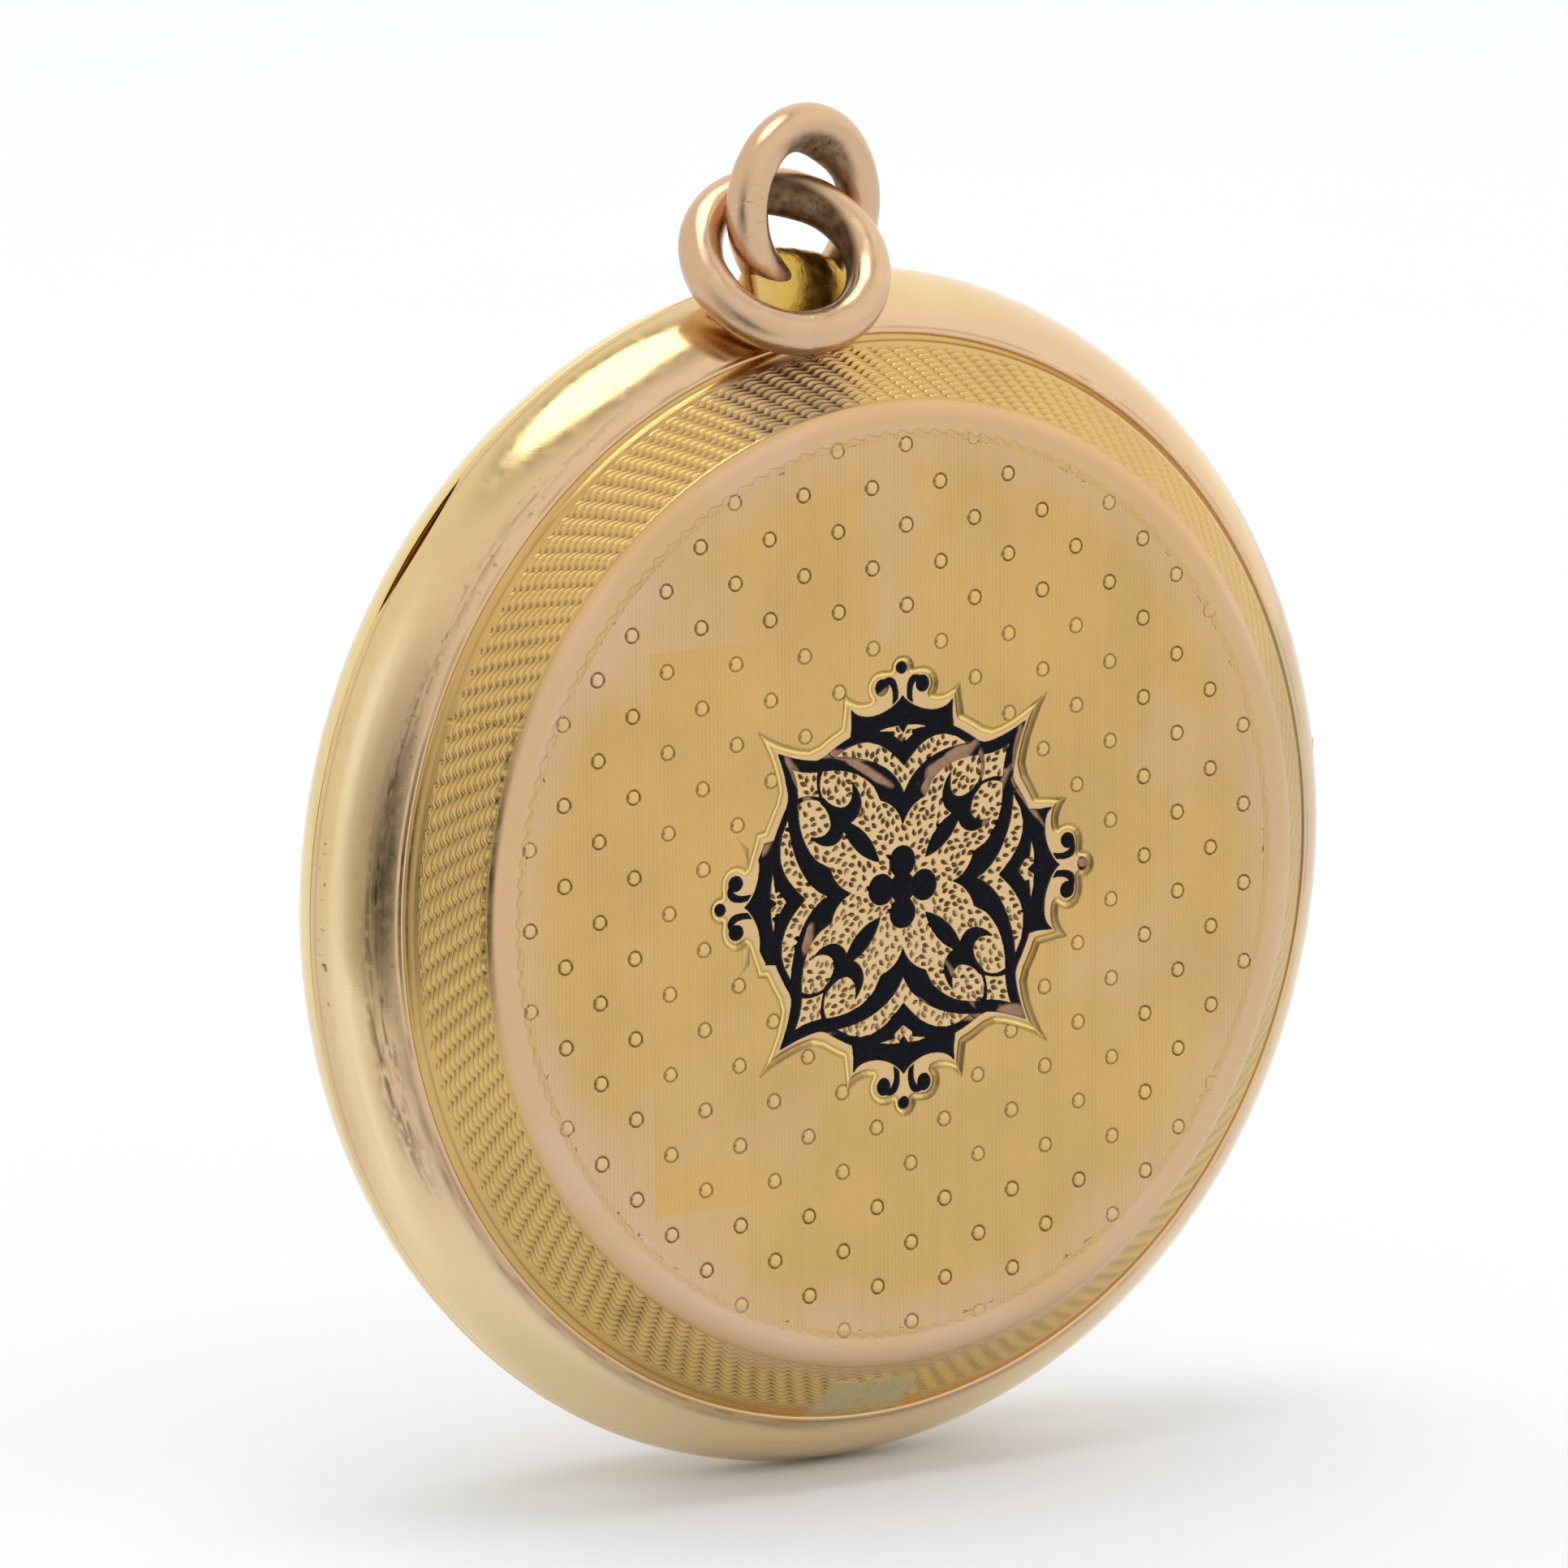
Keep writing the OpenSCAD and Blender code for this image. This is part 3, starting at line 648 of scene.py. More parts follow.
def nick_heights(x, z, inside, step):
    """Leaf-shaped cuts in the gold fields, each with one steep and one flat side, and darker in colour on one side
    than the other: painted shade.
    """
    height = np.zeros(x.shape)
    dark = np.zeros(x.shape)
    made = []
    x0, z0 = x[0, 0], z[0, 0]
    for px, pz in rng.uniform(-5.6, 5.6, (NICK_TRIES, 2)):
        i = int(round((pz + CENTRE[1] - z0) / step))
        j = int(round((px + CENTRE[0] - x0) / step))
        if not (0 <= i < x.shape[0] and 0 <= j < x.shape[1]) or inside[i, j] < 0.06:
            continue
        turn = atan2(pz, px) + (0.55 if len(made) % 2 else -0.55) + rng.normal(0, 0.3)
        c, s = cos(turn), sin(turn)
        if any(crowds(px - a, pz - b, c, s) or crowds(px - a, pz - b, d, e) for a, b, d, e in made):
            continue
        made.append((px, pz, c, s))
        length = rng.uniform(0.115, 0.155)
        width = rng.uniform(0.06, 0.078)
        reach = int(0.18 / step) + 1
        i0, i1 = max(i - reach, 0), min(i + reach + 1, x.shape[0])
        j0, j1 = max(j - reach, 0), min(j + reach + 1, x.shape[1])
        gx = x[i0:i1, j0:j1] - CENTRE[0] - px
        gz = z[i0:i1, j0:j1] - CENTRE[1] - pz
        p = (gx * c + gz * s) / length
        q = (-gx * s + gz * c) / width
        outline = np.clip(1 - p * p, 0, 1) ** 1.25 * (1.1 - 0.45 * p)
        across = np.clip(1 - np.abs(q) / (outline + 1e-6), 0, 1)
        cut = np.where(q > 0, across, smooth(0, 0.5, across)) * np.minimum(outline * 1.3, 1)
        height[i0:i1, j0:j1] = np.minimum(height[i0:i1, j0:j1], -0.09 * cut)
        shade = np.where(q < 0.1, 0.92, 0.3) * smooth(0.02, 0.25, cut)
        dark[i0:i1, j0:j1] = np.maximum(dark[i0:i1, j0:j1], shade)
    return height, dark


# First and last lattice column and row of the field that holds the ornament.
GROUND_U, GROUND_V = (-6, 7), (4, 17)
GROUND_STEP = 0.026


def patches(x, z):
    """Pinker patches of the striped field."""
    return 0.35 * smooth(0.1, 0.7, fractal(x / 3.2 + 4, z / 3.2 + 2, 74))


def stripes_round_dots(x, z):
    """1 on the striped field, 0 inside the engraved rings."""
    return smooth(0.18, 0.21, nearest_dot(x, z)[0])


def ornament_ground():
    """The part of the plate round the ornament, with its carved ground, and the fields it was made from."""
    x_low, x_high = DOT_X + DOT_DX * (GROUND_U[0] - 0.5), DOT_X + DOT_DX * (GROUND_U[1] + 0.5)
    z_high, z_low = DOT_Z - DOT_DZ * (GROUND_V[0] - 0.5), DOT_Z - DOT_DZ * (GROUND_V[1] + 0.5)
    cols = int(ceil((x_high - x_low) / GROUND_STEP)) + 1
    rows = int(ceil((z_high - z_low) / GROUND_STEP)) + 1
    x, z = np.meshgrid(np.linspace(x_low, x_high, cols), np.linspace(z_low, z_high, rows))
    f = ornament_fields(x, z)
    border, field = f["border"], f["field"]
    enamel = np.maximum.reduce([f["network"], f["flower"], f["finial"]])
    outside = smooth(0.03, -0.05, border)
    # The border: a steep bright cut down from the plate, then a ledge that rises to the enamel.
    height = dot_height(x, z) * outside - 0.085 * smooth(-0.01, 0.1, border) + 0.06 * smooth(0.1, 0.26, border)
    height += 0.012 * smooth(0.24, 0.3, border) * fractal(x * 4, z * 4, 70)
    nicks, nick_shade = nick_heights(x, z, field, (x_high - x_low) / (cols - 1))
    height += nicks + 0.006 * bumps(x * 11, z * 0.7, 71) * (field > 0)
    sunk = smooth(-0.012, 0.03, enamel)
    height = height * (1 - sunk) - 0.2 * sunk

    ring_line_dark, gleam = dot_marks(x, z)
    dark = ring_line_dark * outside
    bright = gleam * outside
    # Painted shade and painted highlight on the border: its bevel is lighter on the side turned to the light and
    # darker on the other, and its outline is darker on that shaded side too.
    slope_z, slope_x = np.gradient(border, GROUND_STEP)
    shadow_side = np.clip(-0.75 * slope_x + 0.35 * slope_z, -1, 1)
    shaded = smooth(0.0, 0.7, shadow_side)
    uneven = smooth(-0.6, 0.5, bumps(x * 1.3, z * 1.3, 72))
    outline = bell(border, -0.008, 0.024) * (0.6 + 0.38 * smooth(-0.2, 0.7, shadow_side))
    dark += outline * (0.5 + 0.5 * uneven)
    bevel = window(0.0, 0.04, 0.13, 0.18, border)
    dark += 0.22 * window(0.0, 0.02, 0.03, 0.07, border)
    bright += bevel * (0.85 - 0.75 * shaded)
    dark += 0.42 * bevel * shaded + 0.3 * bell(border, 0.165, 0.03)
    dark += nick_shade * (enamel < 0)
    bright *= 1 - smooth(0.1, 0.5, nick_shade)
    enamel_edge = smooth(-0.035, -0.008, enamel) * smooth(0.06, 0.2, border)
    dark += 0.5 * enamel_edge * (bumps(x * 2, z * 2, 73) > 0)
    rosy = 0.5 * smooth(0.15, 0.2, border) + 0.35 * smooth(0, 0.08, field) + patches(x, z) * outside
    bright += 0.1 * smooth(0, 0.06, field) + 0.12 * smooth(0.19, 0.24, border) * (enamel < -0.02)
    striped = outside * stripes_round_dots(x, z)
    co = np.stack([x, -(PLATE + height), z], -1).reshape(-1, 3)
    part = (co, oriented(co, grid_faces(rows, cols), (0, -1, 0)),
            marks(rosy=rosy, dark=dark, bright=bright, striped=striped))
    return part, (x, z, f)


def plain_tile(cx, cz):
    """Lattice cell without a ring."""
    steps = np.linspace(-0.5, 0.5, 11)
    x, z = np.meshgrid(cx + DOT_DX * steps, cz + DOT_DZ * steps)
    return x, z, grid_faces(len(steps), len(steps))


def dotted_tile(cx, cz):
    """Lattice cell with rings of points round its engraved ring."""
    corners = np.linspace(0, 2 * pi, 49)[:-1]
    c, s = np.cos(corners), np.sin(corners)
    square = 1 / np.maximum(np.abs(c), np.abs(s))
    rings = (0.0, 0.05, 0.1, 0.145, 0.17, 0.183, 0.196, 0.209, 0.222, 0.24, 0.28, 0.4)
    x = np.array([cx + rho * c for rho in rings] + [cx + DOT_DX / 2 * np.clip(square * c, -1, 1)])
    z = np.array([cz + rho * s for rho in rings] + [cz + DOT_DZ / 2 * np.clip(square * s, -1, 1)])
    return x, z, grid_faces(len(x), len(corners), wrap_cols=True)


def plate_tiles():
    """The rest of the flat plate, one tile for each lattice cell outside the ornament's field."""
    parts = []
    for u in range(-13, 15):
        for v in range(-1, 24):
            if GROUND_U[0] <= u <= GROUND_U[1] and GROUND_V[0] <= v <= GROUND_V[1]:
                continue
            cx, cz = DOT_X + DOT_DX * u, DOT_Z - DOT_DZ * v
            if hypot(max(abs(cx) - DOT_DX / 2, 0), max(abs(cz) - DOT_DZ / 2, 0)) > FLAT_R:
                continue
            x, z, quads = plain_tile(cx, cz) if (u + v) % 2 else dotted_tile(cx, cz)
            # Points past the flat's edge are drawn in onto it.
            rho = np.hypot(x, z)
            pull = np.minimum(1, FLAT_R / np.maximum(rho, 1e-6))
            x, z = x * pull, z * pull
            on_flat = rho < FLAT_R
            ring_line_dark, gleam = dot_marks(x, z)
            left = smooth(-2, -9, x) * smooth(0.4, -0.3, fractal(x / 4 + 2, z / 4 + 6, 75))
            rosy = patches(x, z) + 0.45 * smooth(11.2, 12.7, np.hypot(x, z)) + 0.45 * left
            co = np.stack([x, -(PLATE + dot_height(x, z) * on_flat), z], -1).reshape(-1, 3)
            parts.append((co, oriented(co, quads, (0, -1, 0)),
                          marks(rosy=rosy, dark=ring_line_dark * on_flat, bright=gleam * on_flat,
                                striped=stripes_round_dots(x, z))))
    return parts


def join(parts):
    """One set of points, faces and marks from several; a mark that a part lacks is 0 there."""
    starts = np.cumsum([0] + [len(co) for co, _, _ in parts])
    keys = parts[0][2]
    joined = {k: np.concatenate([m.get(k, np.zeros(len(co))) for co, _, m in parts]) for k in keys}
    faces = np.concatenate([quads + start for (_, quads, _), start in zip(parts, starts)])
    return np.concatenate([co for co, _, _ in parts]), faces, joined


def turned_skin(sign, profile, facing, striped=0.0):
    """Surface turned from a profile of radius and depth."""
    columns = 360
    angle = np.arange(columns) * 2 * pi / columns
    a, r = np.meshgrid(angle, np.array(profile)[:, 0], indexing="ij")
    d = np.broadcast_to(np.array(profile)[:, 1], a.shape)
    co = turned(r, a, -sign * d).reshape(-1, 3)
    faces = oriented(co, grid_faces(columns, len(profile), wrap_rows=True), (0, facing, 0))
    return co, faces, {"rosy": np.full(len(co), 0.2), "striped": np.full(len(co), striped)}


ground, grid = ornament_ground()
front_skin = join([face_ring(1, True), ground] + plate_tiles() + [turned_skin(1, INNER_SKIN, 1)])
front_face = make_mesh("front_plate_engraved", *front_skin[:2], face_gold, front_skin[2], (0, -1, 0))
fit(front_face, "front_case", "front_plate")


def enamel_piece(name, cad_node, chosen, distance):
    """Enamel filling of some cells, with a clean edge where the distance is zero."""
    x, z, f = grid
    step = x[0, 1] - x[0, 0]
    reach = -1.6 * step
    gz, gx = np.gradient(distance, step)
    size = np.hypot(gx, gz) + 1e-9
    # Points just outside a cell move onto its outline.
    move = np.where((distance < 0) & (distance > reach), -distance / size, 0)
    px = x + np.clip(gx / size * move, -step, step)
    pz = z + np.clip(gz / size * move, -step, step)
    quads = grid_faces(*x.shape)
    inside, allowed = (chosen & (distance > -1e-9)).ravel()[quads], chosen.ravel()[quads]
    hit = inside.any(1) & allowed.all(1) & (distance.ravel()[quads] > reach).all(1)
    used, inverse = np.unique(quads[hit], return_inverse=True)
    loss = loss_field(f["x"], f["z"])
    height = -0.022 + 0.01 * smooth(0, 0.12, distance) - 0.012 * smooth(0.05, 0.0, distance)
    height = height - 0.075 * loss * smooth(0, 0.05, distance) + 0.006 * loss * fractal(x * 9, z * 9, 80)
    height -= 0.02 * smooth(0.86, 0.95, bumps(x * 5, z * 5, 81))
    co = np.stack([px, -(PLATE + height), pz], -1).reshape(-1, 3)[used]
    piece = make_mesh(name, co, inverse.reshape(-1, 4), black_enamel, {"loss": loss.ravel()[used]}, (0, -1, 0))
    fit(piece, "front_case", cad_node)


fields = grid[2]
in_crown = fields["crown"] > 0
anywhere = np.ones_like(in_crown)
enamel_piece("enamel_flower_fill", "enamel_flower", anywhere, fields["flower"])
enamel_piece("enamel_tracery_fill", "enamel_tracery", ~in_crown & (fields["finial"] < 0), fields["network"])
enamel_piece("enamel_crowns_fill", "enamel_crowns", in_crown, fields["network"])
enamel_piece("enamel_finials_fill", "enamel_finials", anywhere, fields["finial"])


# ---- Rims


NICK_ANGLE, NICK_HALF_LENGTH, NICK_DEPTH = 142, 2.4, 0.28
HINGE_HALF_LENGTH = 2.14


def front_rim_marks(angle, tt):
    """Pits, soot, join line and solder of the front rim, with a painted dark reflection, a painted highlight band and
    a painted reflection of the floor; tt runs from the seam to the lip.
    """
    pitted = window(158, 165, 186, 192, angle) + 0.5 * window(215, 225, 240, 250, angle)
    spots = smooth(0.74, 0.86, bumps(angle * 2.1, tt * 26, 94)) * pitted * bell(tt, 0.17, 0.05)
    grit_and_reflection = smooth(0.45, 0.8, fractal(angle * 1.5, tt * 30, 95)) * window(0.62, 0.8, 0.86, 0.94, tt)
    grit_and_reflection *= window(120, 135, 185, 200, angle)
    # A broken dark streak, a painted reflection, that wanders down towards the middle of the rim, and a sooty line
    # below it.
    dark_reflection = bell(tt, 0.8 - 0.1 * smooth(150, 185, angle), 0.05 + 0.05 * smooth(150, 180, angle))
    dark_reflection *= smooth(-0.5, 0.35, fractal(angle / 5, tt * 34, 98))
    dark_reflection *= smooth(-0.9, 0.1, bumps(angle * 1.2, tt * 40, 99)) * window(112, 135, 196, 212, angle)
    grit_and_reflection += (0.8 + 0.9 * smooth(150, 172, angle)) * dark_reflection
    sooty = bell(tt, 0.895, 0.045) * window(180, 200, 255, 275, angle)
    grit_and_reflection += 1.15 * sooty * (0.6 + 0.4 * fractal(angle / 3, tt * 30, 100))
    join_line = bell(tt, 0.075, 0.012) * 0.25 * window(100, 115, 215, 235, angle)
    solder = window(-4, -2.6, 20, 27, wrap(angle)) * smooth(0.93, 0.96, tt)
    # Painted highlight band along the left of the rim.
    highlight_band = 0.75 * bell(tt, 0.36, 0.12) * window(140, 158, 200, 222, angle)
    highlight_band *= 0.7 + 0.3 * bumps(angle / 18, tt * 14, 101)
    # The paler colour: that painted highlight band, and a painted reflection of the floor along the bottom of the rim.
    pale = highlight_band + 0.75 * window(195, 235, 288, 325, angle) * smooth(0.97, 0.85, tt)
    return spots, 0.9 * spots + 0.55 * grit_and_reflection + join_line, solder, pale


def rim(name, front):
    """Half-round rim sheet, closed, with its lip bead, dents, pits and the cut for the nail or the hinge."""
    sign = 1 if front else -1
    turns = 2400
    angle = np.arange(turns) * 360 / turns
    seam_angle = atan2(-ARC_C[1], CASE_R - ARC_C[0])
    lip_angle = atan2(LIP[1] - ARC_C[1], LIP[0] - ARC_C[0])
    # Depth at which the rim starts: 0 at the seam, more in the nail nick and at the hinge.
    along = np.radians(wrap(angle - NICK_ANGLE)) * CASE_R
    nick = NICK_DEPTH - NICK_DEPTH * (along / NICK_HALF_LENGTH) ** 2
    nick = np.clip(nick, 0, 1) if front else np.zeros(turns)
    at_hinge = np.abs(CASE_R * np.radians(wrap(angle))) < HINGE_HALF_LENGTH
    nick = np.where(at_hinge, 0.18 if front else 0.78, nick)
    start_t = (np.arcsin(np.clip((nick - ARC_C[1]) / ARC_R, -1, 1)) - seam_angle) / (lip_angle - seam_angle)
    outer = np.concatenate([[0, 0.004, 0.012], np.linspace(0.03, 0.965, 66), [0.98, 0.99, 1.0]])
    # The sheet's two edges are rounded over.
    rounding = np.zeros(len(outer))
    rounding[[0, 1, -2, -1]] = 0.035, 0.012, 0.012, 0.04
    clean = np.zeros(turns)
    co, rows = [], []
    for t, edge in zip(outer, rounding):
        tt = start_t + (1 - start_t) * t
        phi = seam_angle + (lip_angle - seam_angle) * tt
        dent = 0.012 * bumps(angle / 15, phi * 3, 91 if front else 90)
        dent += 0.004 * bumps(angle / 4, phi * 6, 92)
        bead = 0.018 * bell(tt, 0.972, 0.012) - 0.014 * bell(tt, 0.945, 0.01)
        lip_line = bell(tt, 0.945, 0.012) * smooth(-0.4, 0.5, bumps(angle / 3, tt, 96))
        rosy = np.clip(0.35 + 0.5 * bumps(angle / 20, tt * 2, 97) + 0.45 * smooth(0.5, 0.9, tt), 0, 1)
        spots, dark, solder, pale = front_rim_marks(angle, tt) if front else (clean, clean, clean, clean)
        rows.append((0.75 * rosy, dark + 0.4 * lip_line, solder, clean if front else clean + 0.45, pale))
        radius = ARC_R - edge - 0.018 + dent * 0.8 + bead - 0.03 * spots
        r = ARC_C[0] + radius * np.cos(phi)
        d = ARC_C[1] + radius * np.sin(phi)
        co.append(turned(r, np.radians(angle), -sign * np.maximum(d, 0.004)))
    inner_r = ARC_R - RIM_WALL
    phi_low = asin(-ARC_C[1] / inner_r)
    for phi in np.linspace(lip_angle, phi_low, 8):
        r = ARC_C[0] + inner_r * cos(phi)
        d = ARC_C[1] + inner_r * sin(phi)
        rows.append((clean, clean + 0.1, clean, clean, clean))
        co.append(turned(clean + r, np.radians(angle), -sign * np.maximum(d, nick + 0.004)))
    rosy, dark, solder, bright, pale = np.array(rows).transpose(1, 0, 2)
    faces = grid_faces(len(co), turns, wrap_rows=True, wrap_cols=True)
    return make_mesh(name, np.reshape(co, (-1, 3)), faces, rim_gold,
                     marks(rosy=rosy, dark=dark, solder=solder, bright=bright, pale=pale))


front_rim = rim("front_rim_worn", True)
fit(front_rim, "front_case", "front_rim")
back_rim = rim("back_rim_worn", False)
fit(back_rim, "back_cover", "back_rim")

flat_profile = [(r, PLATE) for r in np.linspace(FLAT_R + 0.01, 0.01, 60)]
back_skin = join([face_ring(-1, False), turned_skin(-1, flat_profile, 1, 1.0), turned_skin(-1, INNER_SKIN, -1)])
back_face = make_mesh("back_plate_engraved", *back_skin[:2], face_gold, back_skin[2], (0, 1, 0))
fit(back_face, "back_cover", "back_plate")


# ---- Bail

UP = np.array([0, 0, 1.0])
# The eye stands in the foot, its plane turned a little from the front.
EYE = np.array([-0.88, -0.87, 18.91])
EYE_TURN = radians(12.7)
EYE_ACROSS = np.array([cos(EYE_TURN), sin(EYE_TURN), 0])
EYE_R = 2.3
EYE_WIRE = 0.6
EYE_ENDS = (-70, 250)
# The jump ring slopes forwards; its angles start at its lowest point.
RING = np.array([-2.0, -1.57, 17.51])
RING_SLOPE, RING_HEADING = radians(47.9), radians(-102.2)
RING_NORMAL = np.array([sin(RING_SLOPE) * cos(RING_HEADING), sin(RING_SLOPE) * sin(RING_HEADING),
                        cos(RING_SLOPE)])
RING_DOWN = RING_NORMAL * RING_NORMAL[2] - UP
RING_DOWN = RING_DOWN / np.linalg.norm(RING_DOWN)
RING_R = 2.44
RING_WIRE = 0.65
# Where the jump ring's ends meet: degrees along it and round its wire.
CREASE = (0, 125)


def worn_wire(name, centre, first, second, radius, wire, ends, wear):
    """Bent wire round a centre, in the plane of two directions; wear gives its loss and its marks.

    Angle a runs along the wire from the first direction, and b round its section from the outer side."""
    closed = ends[1] - ends[0] >= 360
    columns, sides = 720, 120
    round_angle = np.linspace(*ends, columns, endpoint=not closed)
    tube = np.arange(sides) * 360 / sides
    a, b = np.meshgrid(round_angle, tube, indexing="ij")
    loss, wire_marks = wear(a, b)
    out = np.cos(np.radians(a))[..., None] * first + np.sin(np.radians(a))[..., None] * second
    side = np.cos(np.radians(b))[..., None] * out + np.sin(np.radians(b))[..., None] * np.cross(first, second)
    co = centre + out * radius + (wire - loss)[..., None] * side
    if not closed:
        # The cut ends, inside the foot, draw in to small holes.
        hubs = centre + out[[0, -1], 0] * radius
        co[0] = hubs[0] + (co[0] - hubs[0]) * 0.02
        co[-1] = hubs[1] + (co[-1] - hubs[1]) * 0.02
    faces = grid_faces(columns, sides, wrap_rows=closed, wrap_cols=True)
    return make_mesh(name, co.reshape(-1, 3), faces, ring_gold, wire_marks)


def spot(a, b, at_a, at_b, wide_a, wide_b):
    """Soft patch on a wire, in degrees along it and round its section."""
    return bell(wrap(a - at_a), 0, wide_a) * bell(wrap(b - at_b), 0, wide_b)


def hammered(a, b, seed, amount):
    """Low dents and flats left by the maker's tools."""
    round_the_wire = np.cos(np.radians(b)) * 1.4 + 5
    along = np.sin(np.radians(b)) * 1.4 + a / 26
    return amount * (0.5 + 0.5 * fractal(along, round_the_wire, seed, 2))


def eye_wear(a, b):
    """Loss and marks of the eye: thick on its inner side, with pits, a few cuts and a patina."""
    inside = spot(a, b, 90, 180, 60, 55)
    pits = smooth(0.35, 0.75, fractal(a / 3, b / 6, 112)) * inside
    cuts = smooth(0.5, 0.8, bumps(a / 1.2, b / 45, 113)) * spot(a, b, 178, 60, 12, 40)
    flat = smooth(0.55, 1.0, np.cos(np.radians(b - 70))) * spot(a, b, 170, 70, 30, 60)
    loss = 0.004 + hammered(a, b, 110, 0.03) + 0.03 * pits + 0.02 * inside + 0.02 * cuts + 0.05 * flat
    loss -= 0.4 * spot(a, b, 62, 192, 46, 38)
    start = 80 + 0.5 * (110 - wrap(a))
    patina = smooth(0, 34, b - start) * (1 - smooth(250, 285, b)) * window(-50, -20, 118, 140, wrap(a))
    patina *= 0.75 + 0.25 * fractal(a / 8, b / 14, 115)
    rosy = 0.45 + 0.3 * bumps(a / 30, b / 60, 114) + 0.4 * spot(a, b, 25, 180, 35, 60)
    return loss, marks(dark=0.35 * pits + 0.6 * cuts + 0.15 * inside + 0.85 * patina, rosy=rosy)


def ring_wear(a, b):
    """Loss and marks of the jump ring: its join, two flats, pits, a thick inner side and a patina."""
    along, round_it = CREASE
    crease = spot(a + 3 * bumps(a / 4, b / 20, 121), b, along, round_it, 13, 11)
    crease *= smooth(-0.5, 0.3, fractal(a / 1.5, b / 5, 122))
    flats = 0.06 * spot(a, b, along + 30, round_it - 40, 14, 30)
    flats += 0.05 * spot(a, b, along - 26, round_it - 60, 16, 26)
    pits = smooth(0.55, 0.85, bumps(a / 1.3, b / 5, 123)) * spot(a, b, along + 180, 180, 80, 50)
    loss = 0.004 + hammered(a, b, 120, 0.045) + 0.03 * crease + flats + 0.015 * pits
    loss -= 0.3 * spot(a, b, 158, 172, 34, 32)
    start = 68 + 0.62 * (170 - a)
    patina = smooth(0, 32, b - start) * (1 - smooth(240, 275, b)) * window(15, 50, 180, 210, a)
    dark = crease + 0.4 * pits + 1.05 * patina * (0.85 + 0.15 * fractal(a / 8, b / 14, 125))
    return loss, marks(dark=dark, rosy=0.45 + 0.35 * bumps(a / 30, b / 60, 124))


eye = worn_wire("bail_eye_worn", EYE, EYE_ACROSS, UP, EYE_R, EYE_WIRE, EYE_ENDS, eye_wear)
fit(eye, "front_case", "bail_eye")
jump_ring = worn_wire("jump_ring_worn", RING, RING_DOWN, np.cross(RING_NORMAL, RING_DOWN), RING_R, RING_WIRE, (0, 360),
                      ring_wear)
fit(jump_ring, "jump_ring", "jump_ring")


def foot_top(u):
    """Height of the solder between the eye's limbs, across its width."""
    knots_u = [-2.5, -2.2, -1.85, -1.3, -0.5, 0.4, 1.1, 1.7, 2.1, 2.5]
    knots_z = [16.9, 17.7, 18.05, 17.92, 17.82, 17.62, 17.38, 17.3, 17.2, 16.75]
    fine = np.interp(u, knots_u, knots_z)
    return 0.5 * fine + 0.25 * (np.interp(u - 0.15, knots_u, knots_z) + np.interp(u + 0.15, knots_u, knots_z))


def case_top(x, y):
    """Height of the rim's surface under a point."""
    depth = np.clip(-y, 0, 2.3)
    r = ARC_C[0] + np.sqrt(ARC_R**2 - (depth - ARC_C[1]) ** 2)
    return np.sqrt(np.maximum(r * r - x * x, 0))


def clear_of_ring(co):
    """Points pushed out of the space that the jump ring lies in."""
    keep = RING_WIRE + 0.04
    flat = co - RING
    height = flat @ RING_NORMAL
    radial = flat - height[:, None] * RING_NORMAL
    radial = radial / np.linalg.norm(radial, axis=1)[:, None]
    core = RING + radial * RING_R
    away = co - core
    gap = np.linalg.norm(away, axis=1)[:, None]
    return np.where(gap < keep, core + away / gap * keep, co)


def solder_foot():
    """Saddle of solder that joins the eye's limbs to the rim, lumpy and stained, with one pit."""
    across, rows = 160, 90
    u, t = np.meshgrid(np.linspace(-2.6, 2.6, across), np.linspace(0, 1, rows), indexing="ij")
    rise = np.sin(np.pi * t) ** 0.75 * smooth(2.6, 2.25, np.abs(u))
    ends = np.sqrt(np.clip(1 - (u / 2.62) ** 2, 0, 1))
    half = (0.58 + 0.5 * (1 - rise) ** 2) * (0.35 + 0.65 * ends)
    w = -half * np.cos(np.pi * t)
    x = EYE[0] + cos(EYE_TURN) * u - sin(EYE_TURN) * w
    # It stays in front of the seam.
    y = np.minimum(EYE[1] + sin(EYE_TURN) * u + cos(EYE_TURN) * w, -0.035)
    base = case_top(x, y) - 0.06
    top = np.maximum(foot_top(u) - 0.03, base)
    z = base + (top - base) * rise
    lumps = 0.03 * fractal(x * 1.4, z * 1.4 + y * 2, 130) + 0.008 * fractal(x * 6, z * 6 + y * 5, 131)
    pit = bell(u, 1.25, 0.05) * bell(t, 0.36, 0.022)
    z += (lumps - 0.02) * rise - 0.05 * pit
    stain = smooth(0.0, 0.7, fractal(u * 1.1, t * 5, 132))
    co = clear_of_ring(np.stack([x, y, z], -1).reshape(-1, 3))
    return make_mesh("bail_foot_solder", co, grid_faces(across, rows), foot_gold,
                     marks(dark=0.9 * pit + 0.25 * stain, rosy=0.35 * smooth(0.5, 1, np.abs(u) / 2.4)), (0, -0.7, 0.7))


foot = solder_foot()
fit(foot, "front_case", "bail_foot")


# ---- Staging


# The camera's angles and lens; its place is right of, above and back from the origin.
CAMERA_AZ, CAMERA_EL, CAMERA_ROLL = radians(-34.33), radians(9.43), radians(-0.445)
CAMERA_PLACE = (-0.9145, 2.3, 479.2)
CAMERA_LENS, SENSOR_WIDTH, CLIP_END = 390.6, 36, 20

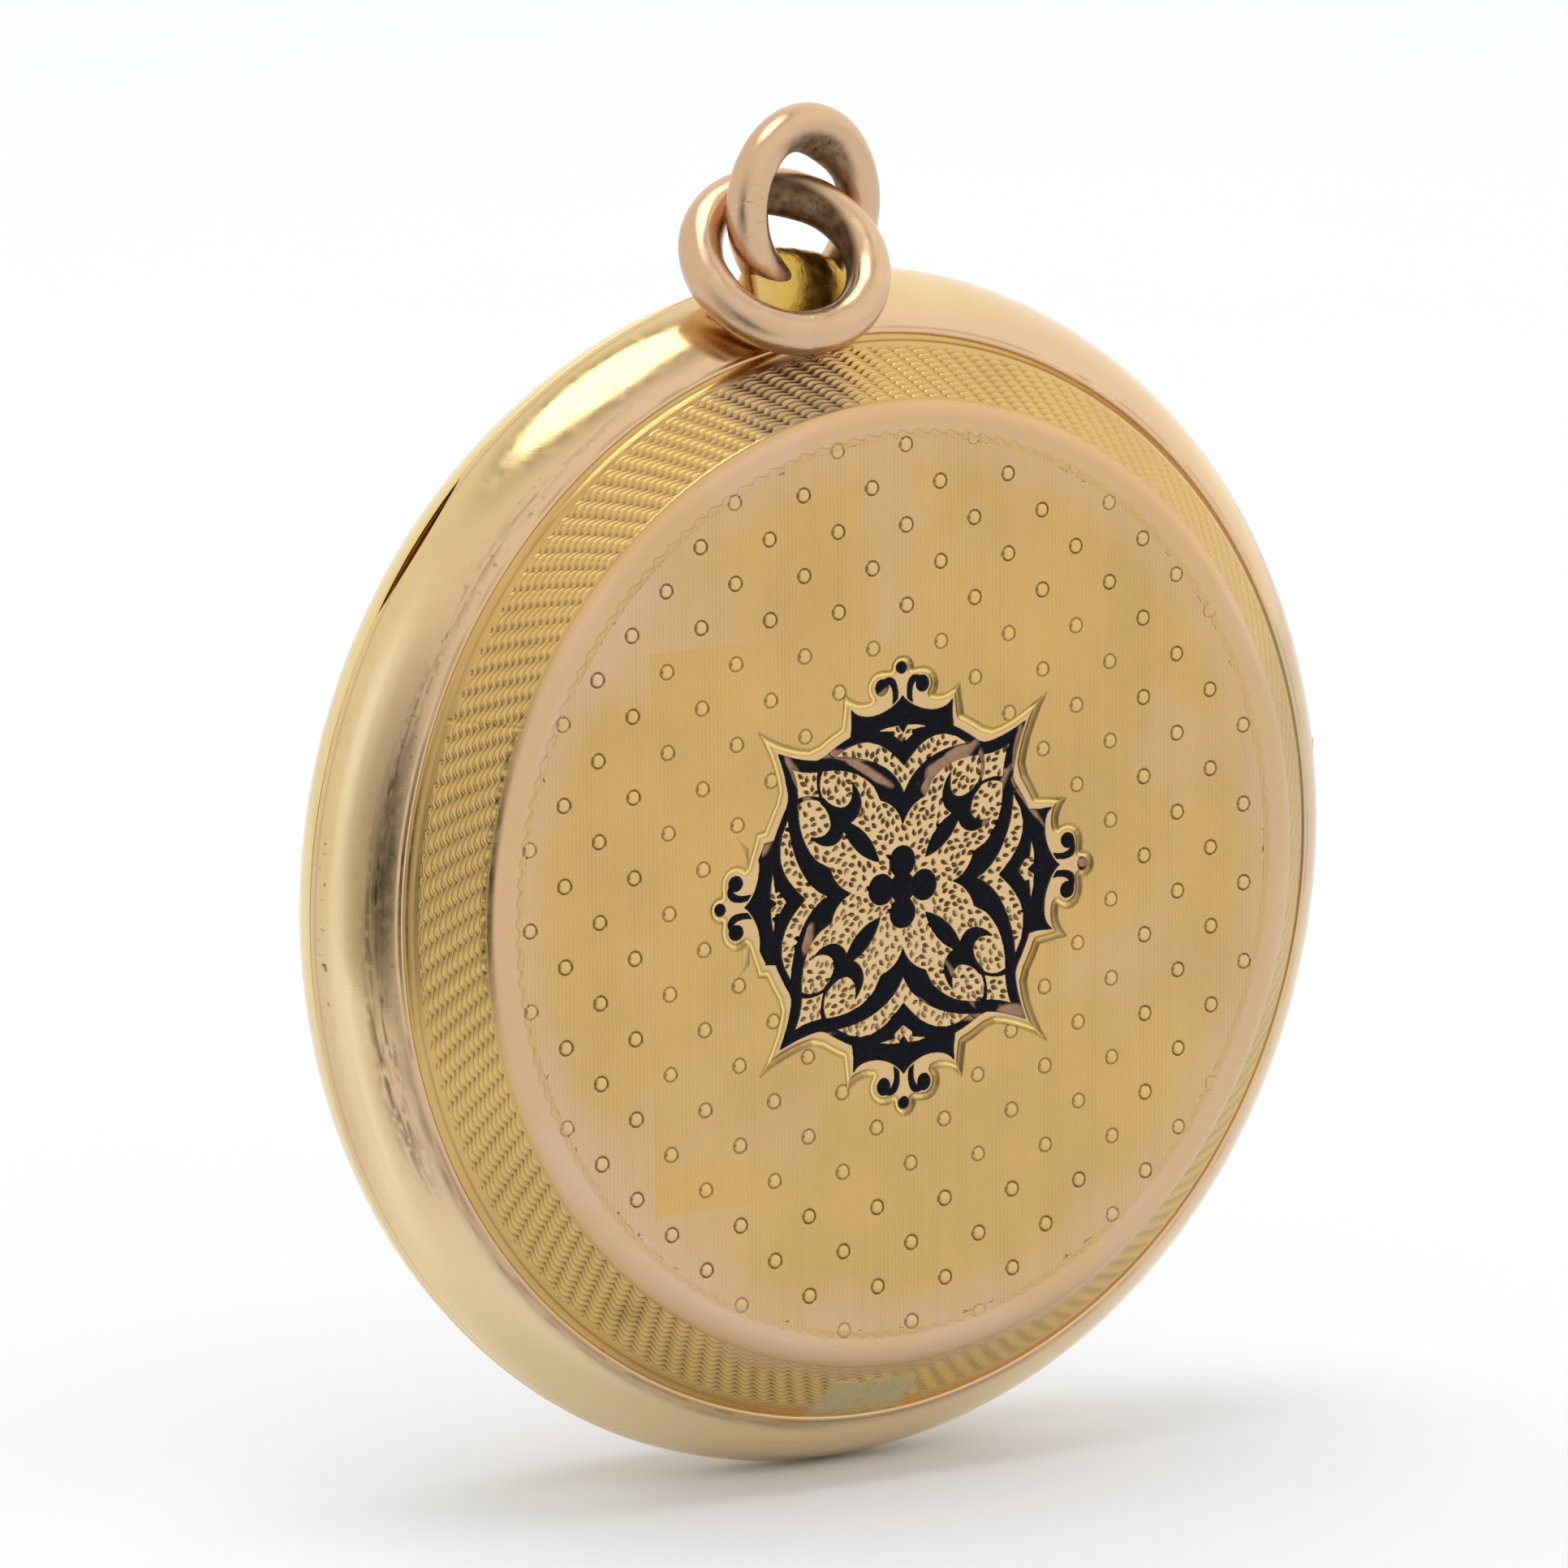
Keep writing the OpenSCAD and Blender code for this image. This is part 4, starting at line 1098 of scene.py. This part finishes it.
# Lobes of the surroundings: azimuth and elevation, the angles where each is full and where it ends, its strength.
LOBES = [(-42, -2, 5, 19, -0.5), (-58, -4, 8, 44, -0.42), (0, 90, 14, 36, -0.6), (110, 20, 10, 70, 0.18),
         (30, 45, 10, 50, 0.12)]
TENT_COLOUR = (1.0, 0.99, 0.97, 1)
LAMP_PLACE, LAMP_SIZE, LAMP_POWER = (-0.05, 0.05, 1.2), 0.8, 4.6
FLOOR_TONES = (0.81, 0.838, 0.885), (0.825, 0.853, 0.9)
# How far the floor reaches, in metres, towards the camera, away from it and to each side.
FLOOR_NEAR, FLOOR_FAR, FLOOR_SIDE = 0.045, 3, 3


def sky(azimuth, elevation):
    """Direction towards a point of the surroundings; angles in radians, azimuth 0 on the front's side."""
    level = cos(elevation)
    return Vector((sin(azimuth) * level, -cos(azimuth) * level, sin(elevation)))


def world_light():
    """White light tent, darker towards the camera and overhead, where the softbox hangs."""
    g = Graph("tent", bpy.data.worlds, "Background")
    bpy.context.scene.world = g.owner
    total = 1.0
    for azimuth, elevation, inner, outer, amount in LOBES:
        towards = sky(radians(azimuth), radians(elevation))
        dot = g.add("ShaderNodeVectorMath", {0: g.places["Generated"], 1: towards}, operation="DOT_PRODUCT")
        inputs = {"Value": dot.outputs["Value"], "From Min": cos(radians(outer)),
                  "From Max": cos(radians(inner)), "To Max": amount}
        lobe = g.add("ShaderNodeMapRange", inputs, interpolation_type="SMOOTHSTEP")
        total = g.math("ADD", total, lobe.outputs["Result"])
    total = g.math("MAXIMUM", total, 0.02)
    # The backdrop itself shows plain white.
    total = g.math("MAXIMUM", total, g.add("ShaderNodeLightPath").outputs["Is Camera Ray"])
    g.feed({"Strength": total, "Color": TENT_COLOUR})


def overhead_light():
    """Round softbox above the locket."""
    data = bpy.data.lights.new("overhead", "AREA")
    data.shape = "DISK"
    data.size = LAMP_SIZE
    data.energy = LAMP_POWER
    obj = link("overhead", data)
    obj.location = LAMP_PLACE
    obj.rotation_euler = (-Vector(LAMP_PLACE)).to_track_quat("-Z", "Y").to_euler()


def floor():
    """Plain floor under the locket, with its near edge below the picture."""
    g = Graph("pale_floor")
    g.feed({"Base Color": g.mix(g.noise(0.02, 3), *FLOOR_TONES), "Roughness": 0.7})
    across = Vector((cos(CAMERA_AZ), sin(CAMERA_AZ), 0))
    away = Vector((-across.y, across.x, 0))
    near, far, side = -away * FLOOR_NEAR, away * FLOOR_FAR, across * FLOOR_SIDE
    mesh = bpy.data.meshes.new("floor")
    corners = [near - side, near + side, far + side, far - side]
    mesh.from_pydata([(c.x, c.y, cad_box[0][2]) for c in corners], [], [(0, 1, 2, 3)])
    mesh.materials.append(g.owner)
    link("floor", mesh)


def camera():
    back = sky(CAMERA_AZ, CAMERA_EL)
    level = Vector((cos(CAMERA_AZ), sin(CAMERA_AZ), 0))
    steep = back.cross(level)
    right = level * cos(CAMERA_ROLL) + steep * sin(CAMERA_ROLL)
    up = -level * sin(CAMERA_ROLL) + steep * cos(CAMERA_ROLL)
    data = bpy.data.cameras.new("camera")
    data.sensor_width = SENSOR_WIDTH
    data.lens = CAMERA_LENS
    data.clip_end = CLIP_END
    obj = link("camera", data)
    place = sum((MM * distance * axis for distance, axis in zip(CAMERA_PLACE, (right, up, back))), Vector())
    obj.matrix_world = Matrix.Translation(place) @ Matrix((right, up, back)).transposed().to_4x4()
    bpy.context.scene.camera = obj


world_light()
floor()
camera()
overhead_light()
bpy.context.scene.view_settings.view_transform = "Standard"

for name, obj in nodes.items():
    chosen = inner_gold
    if "glass" in name:
        chosen = clear_glass
    elif "card" in name:
        chosen = paper_card
    obj.data.materials.clear()
    obj.data.materials.append(chosen)
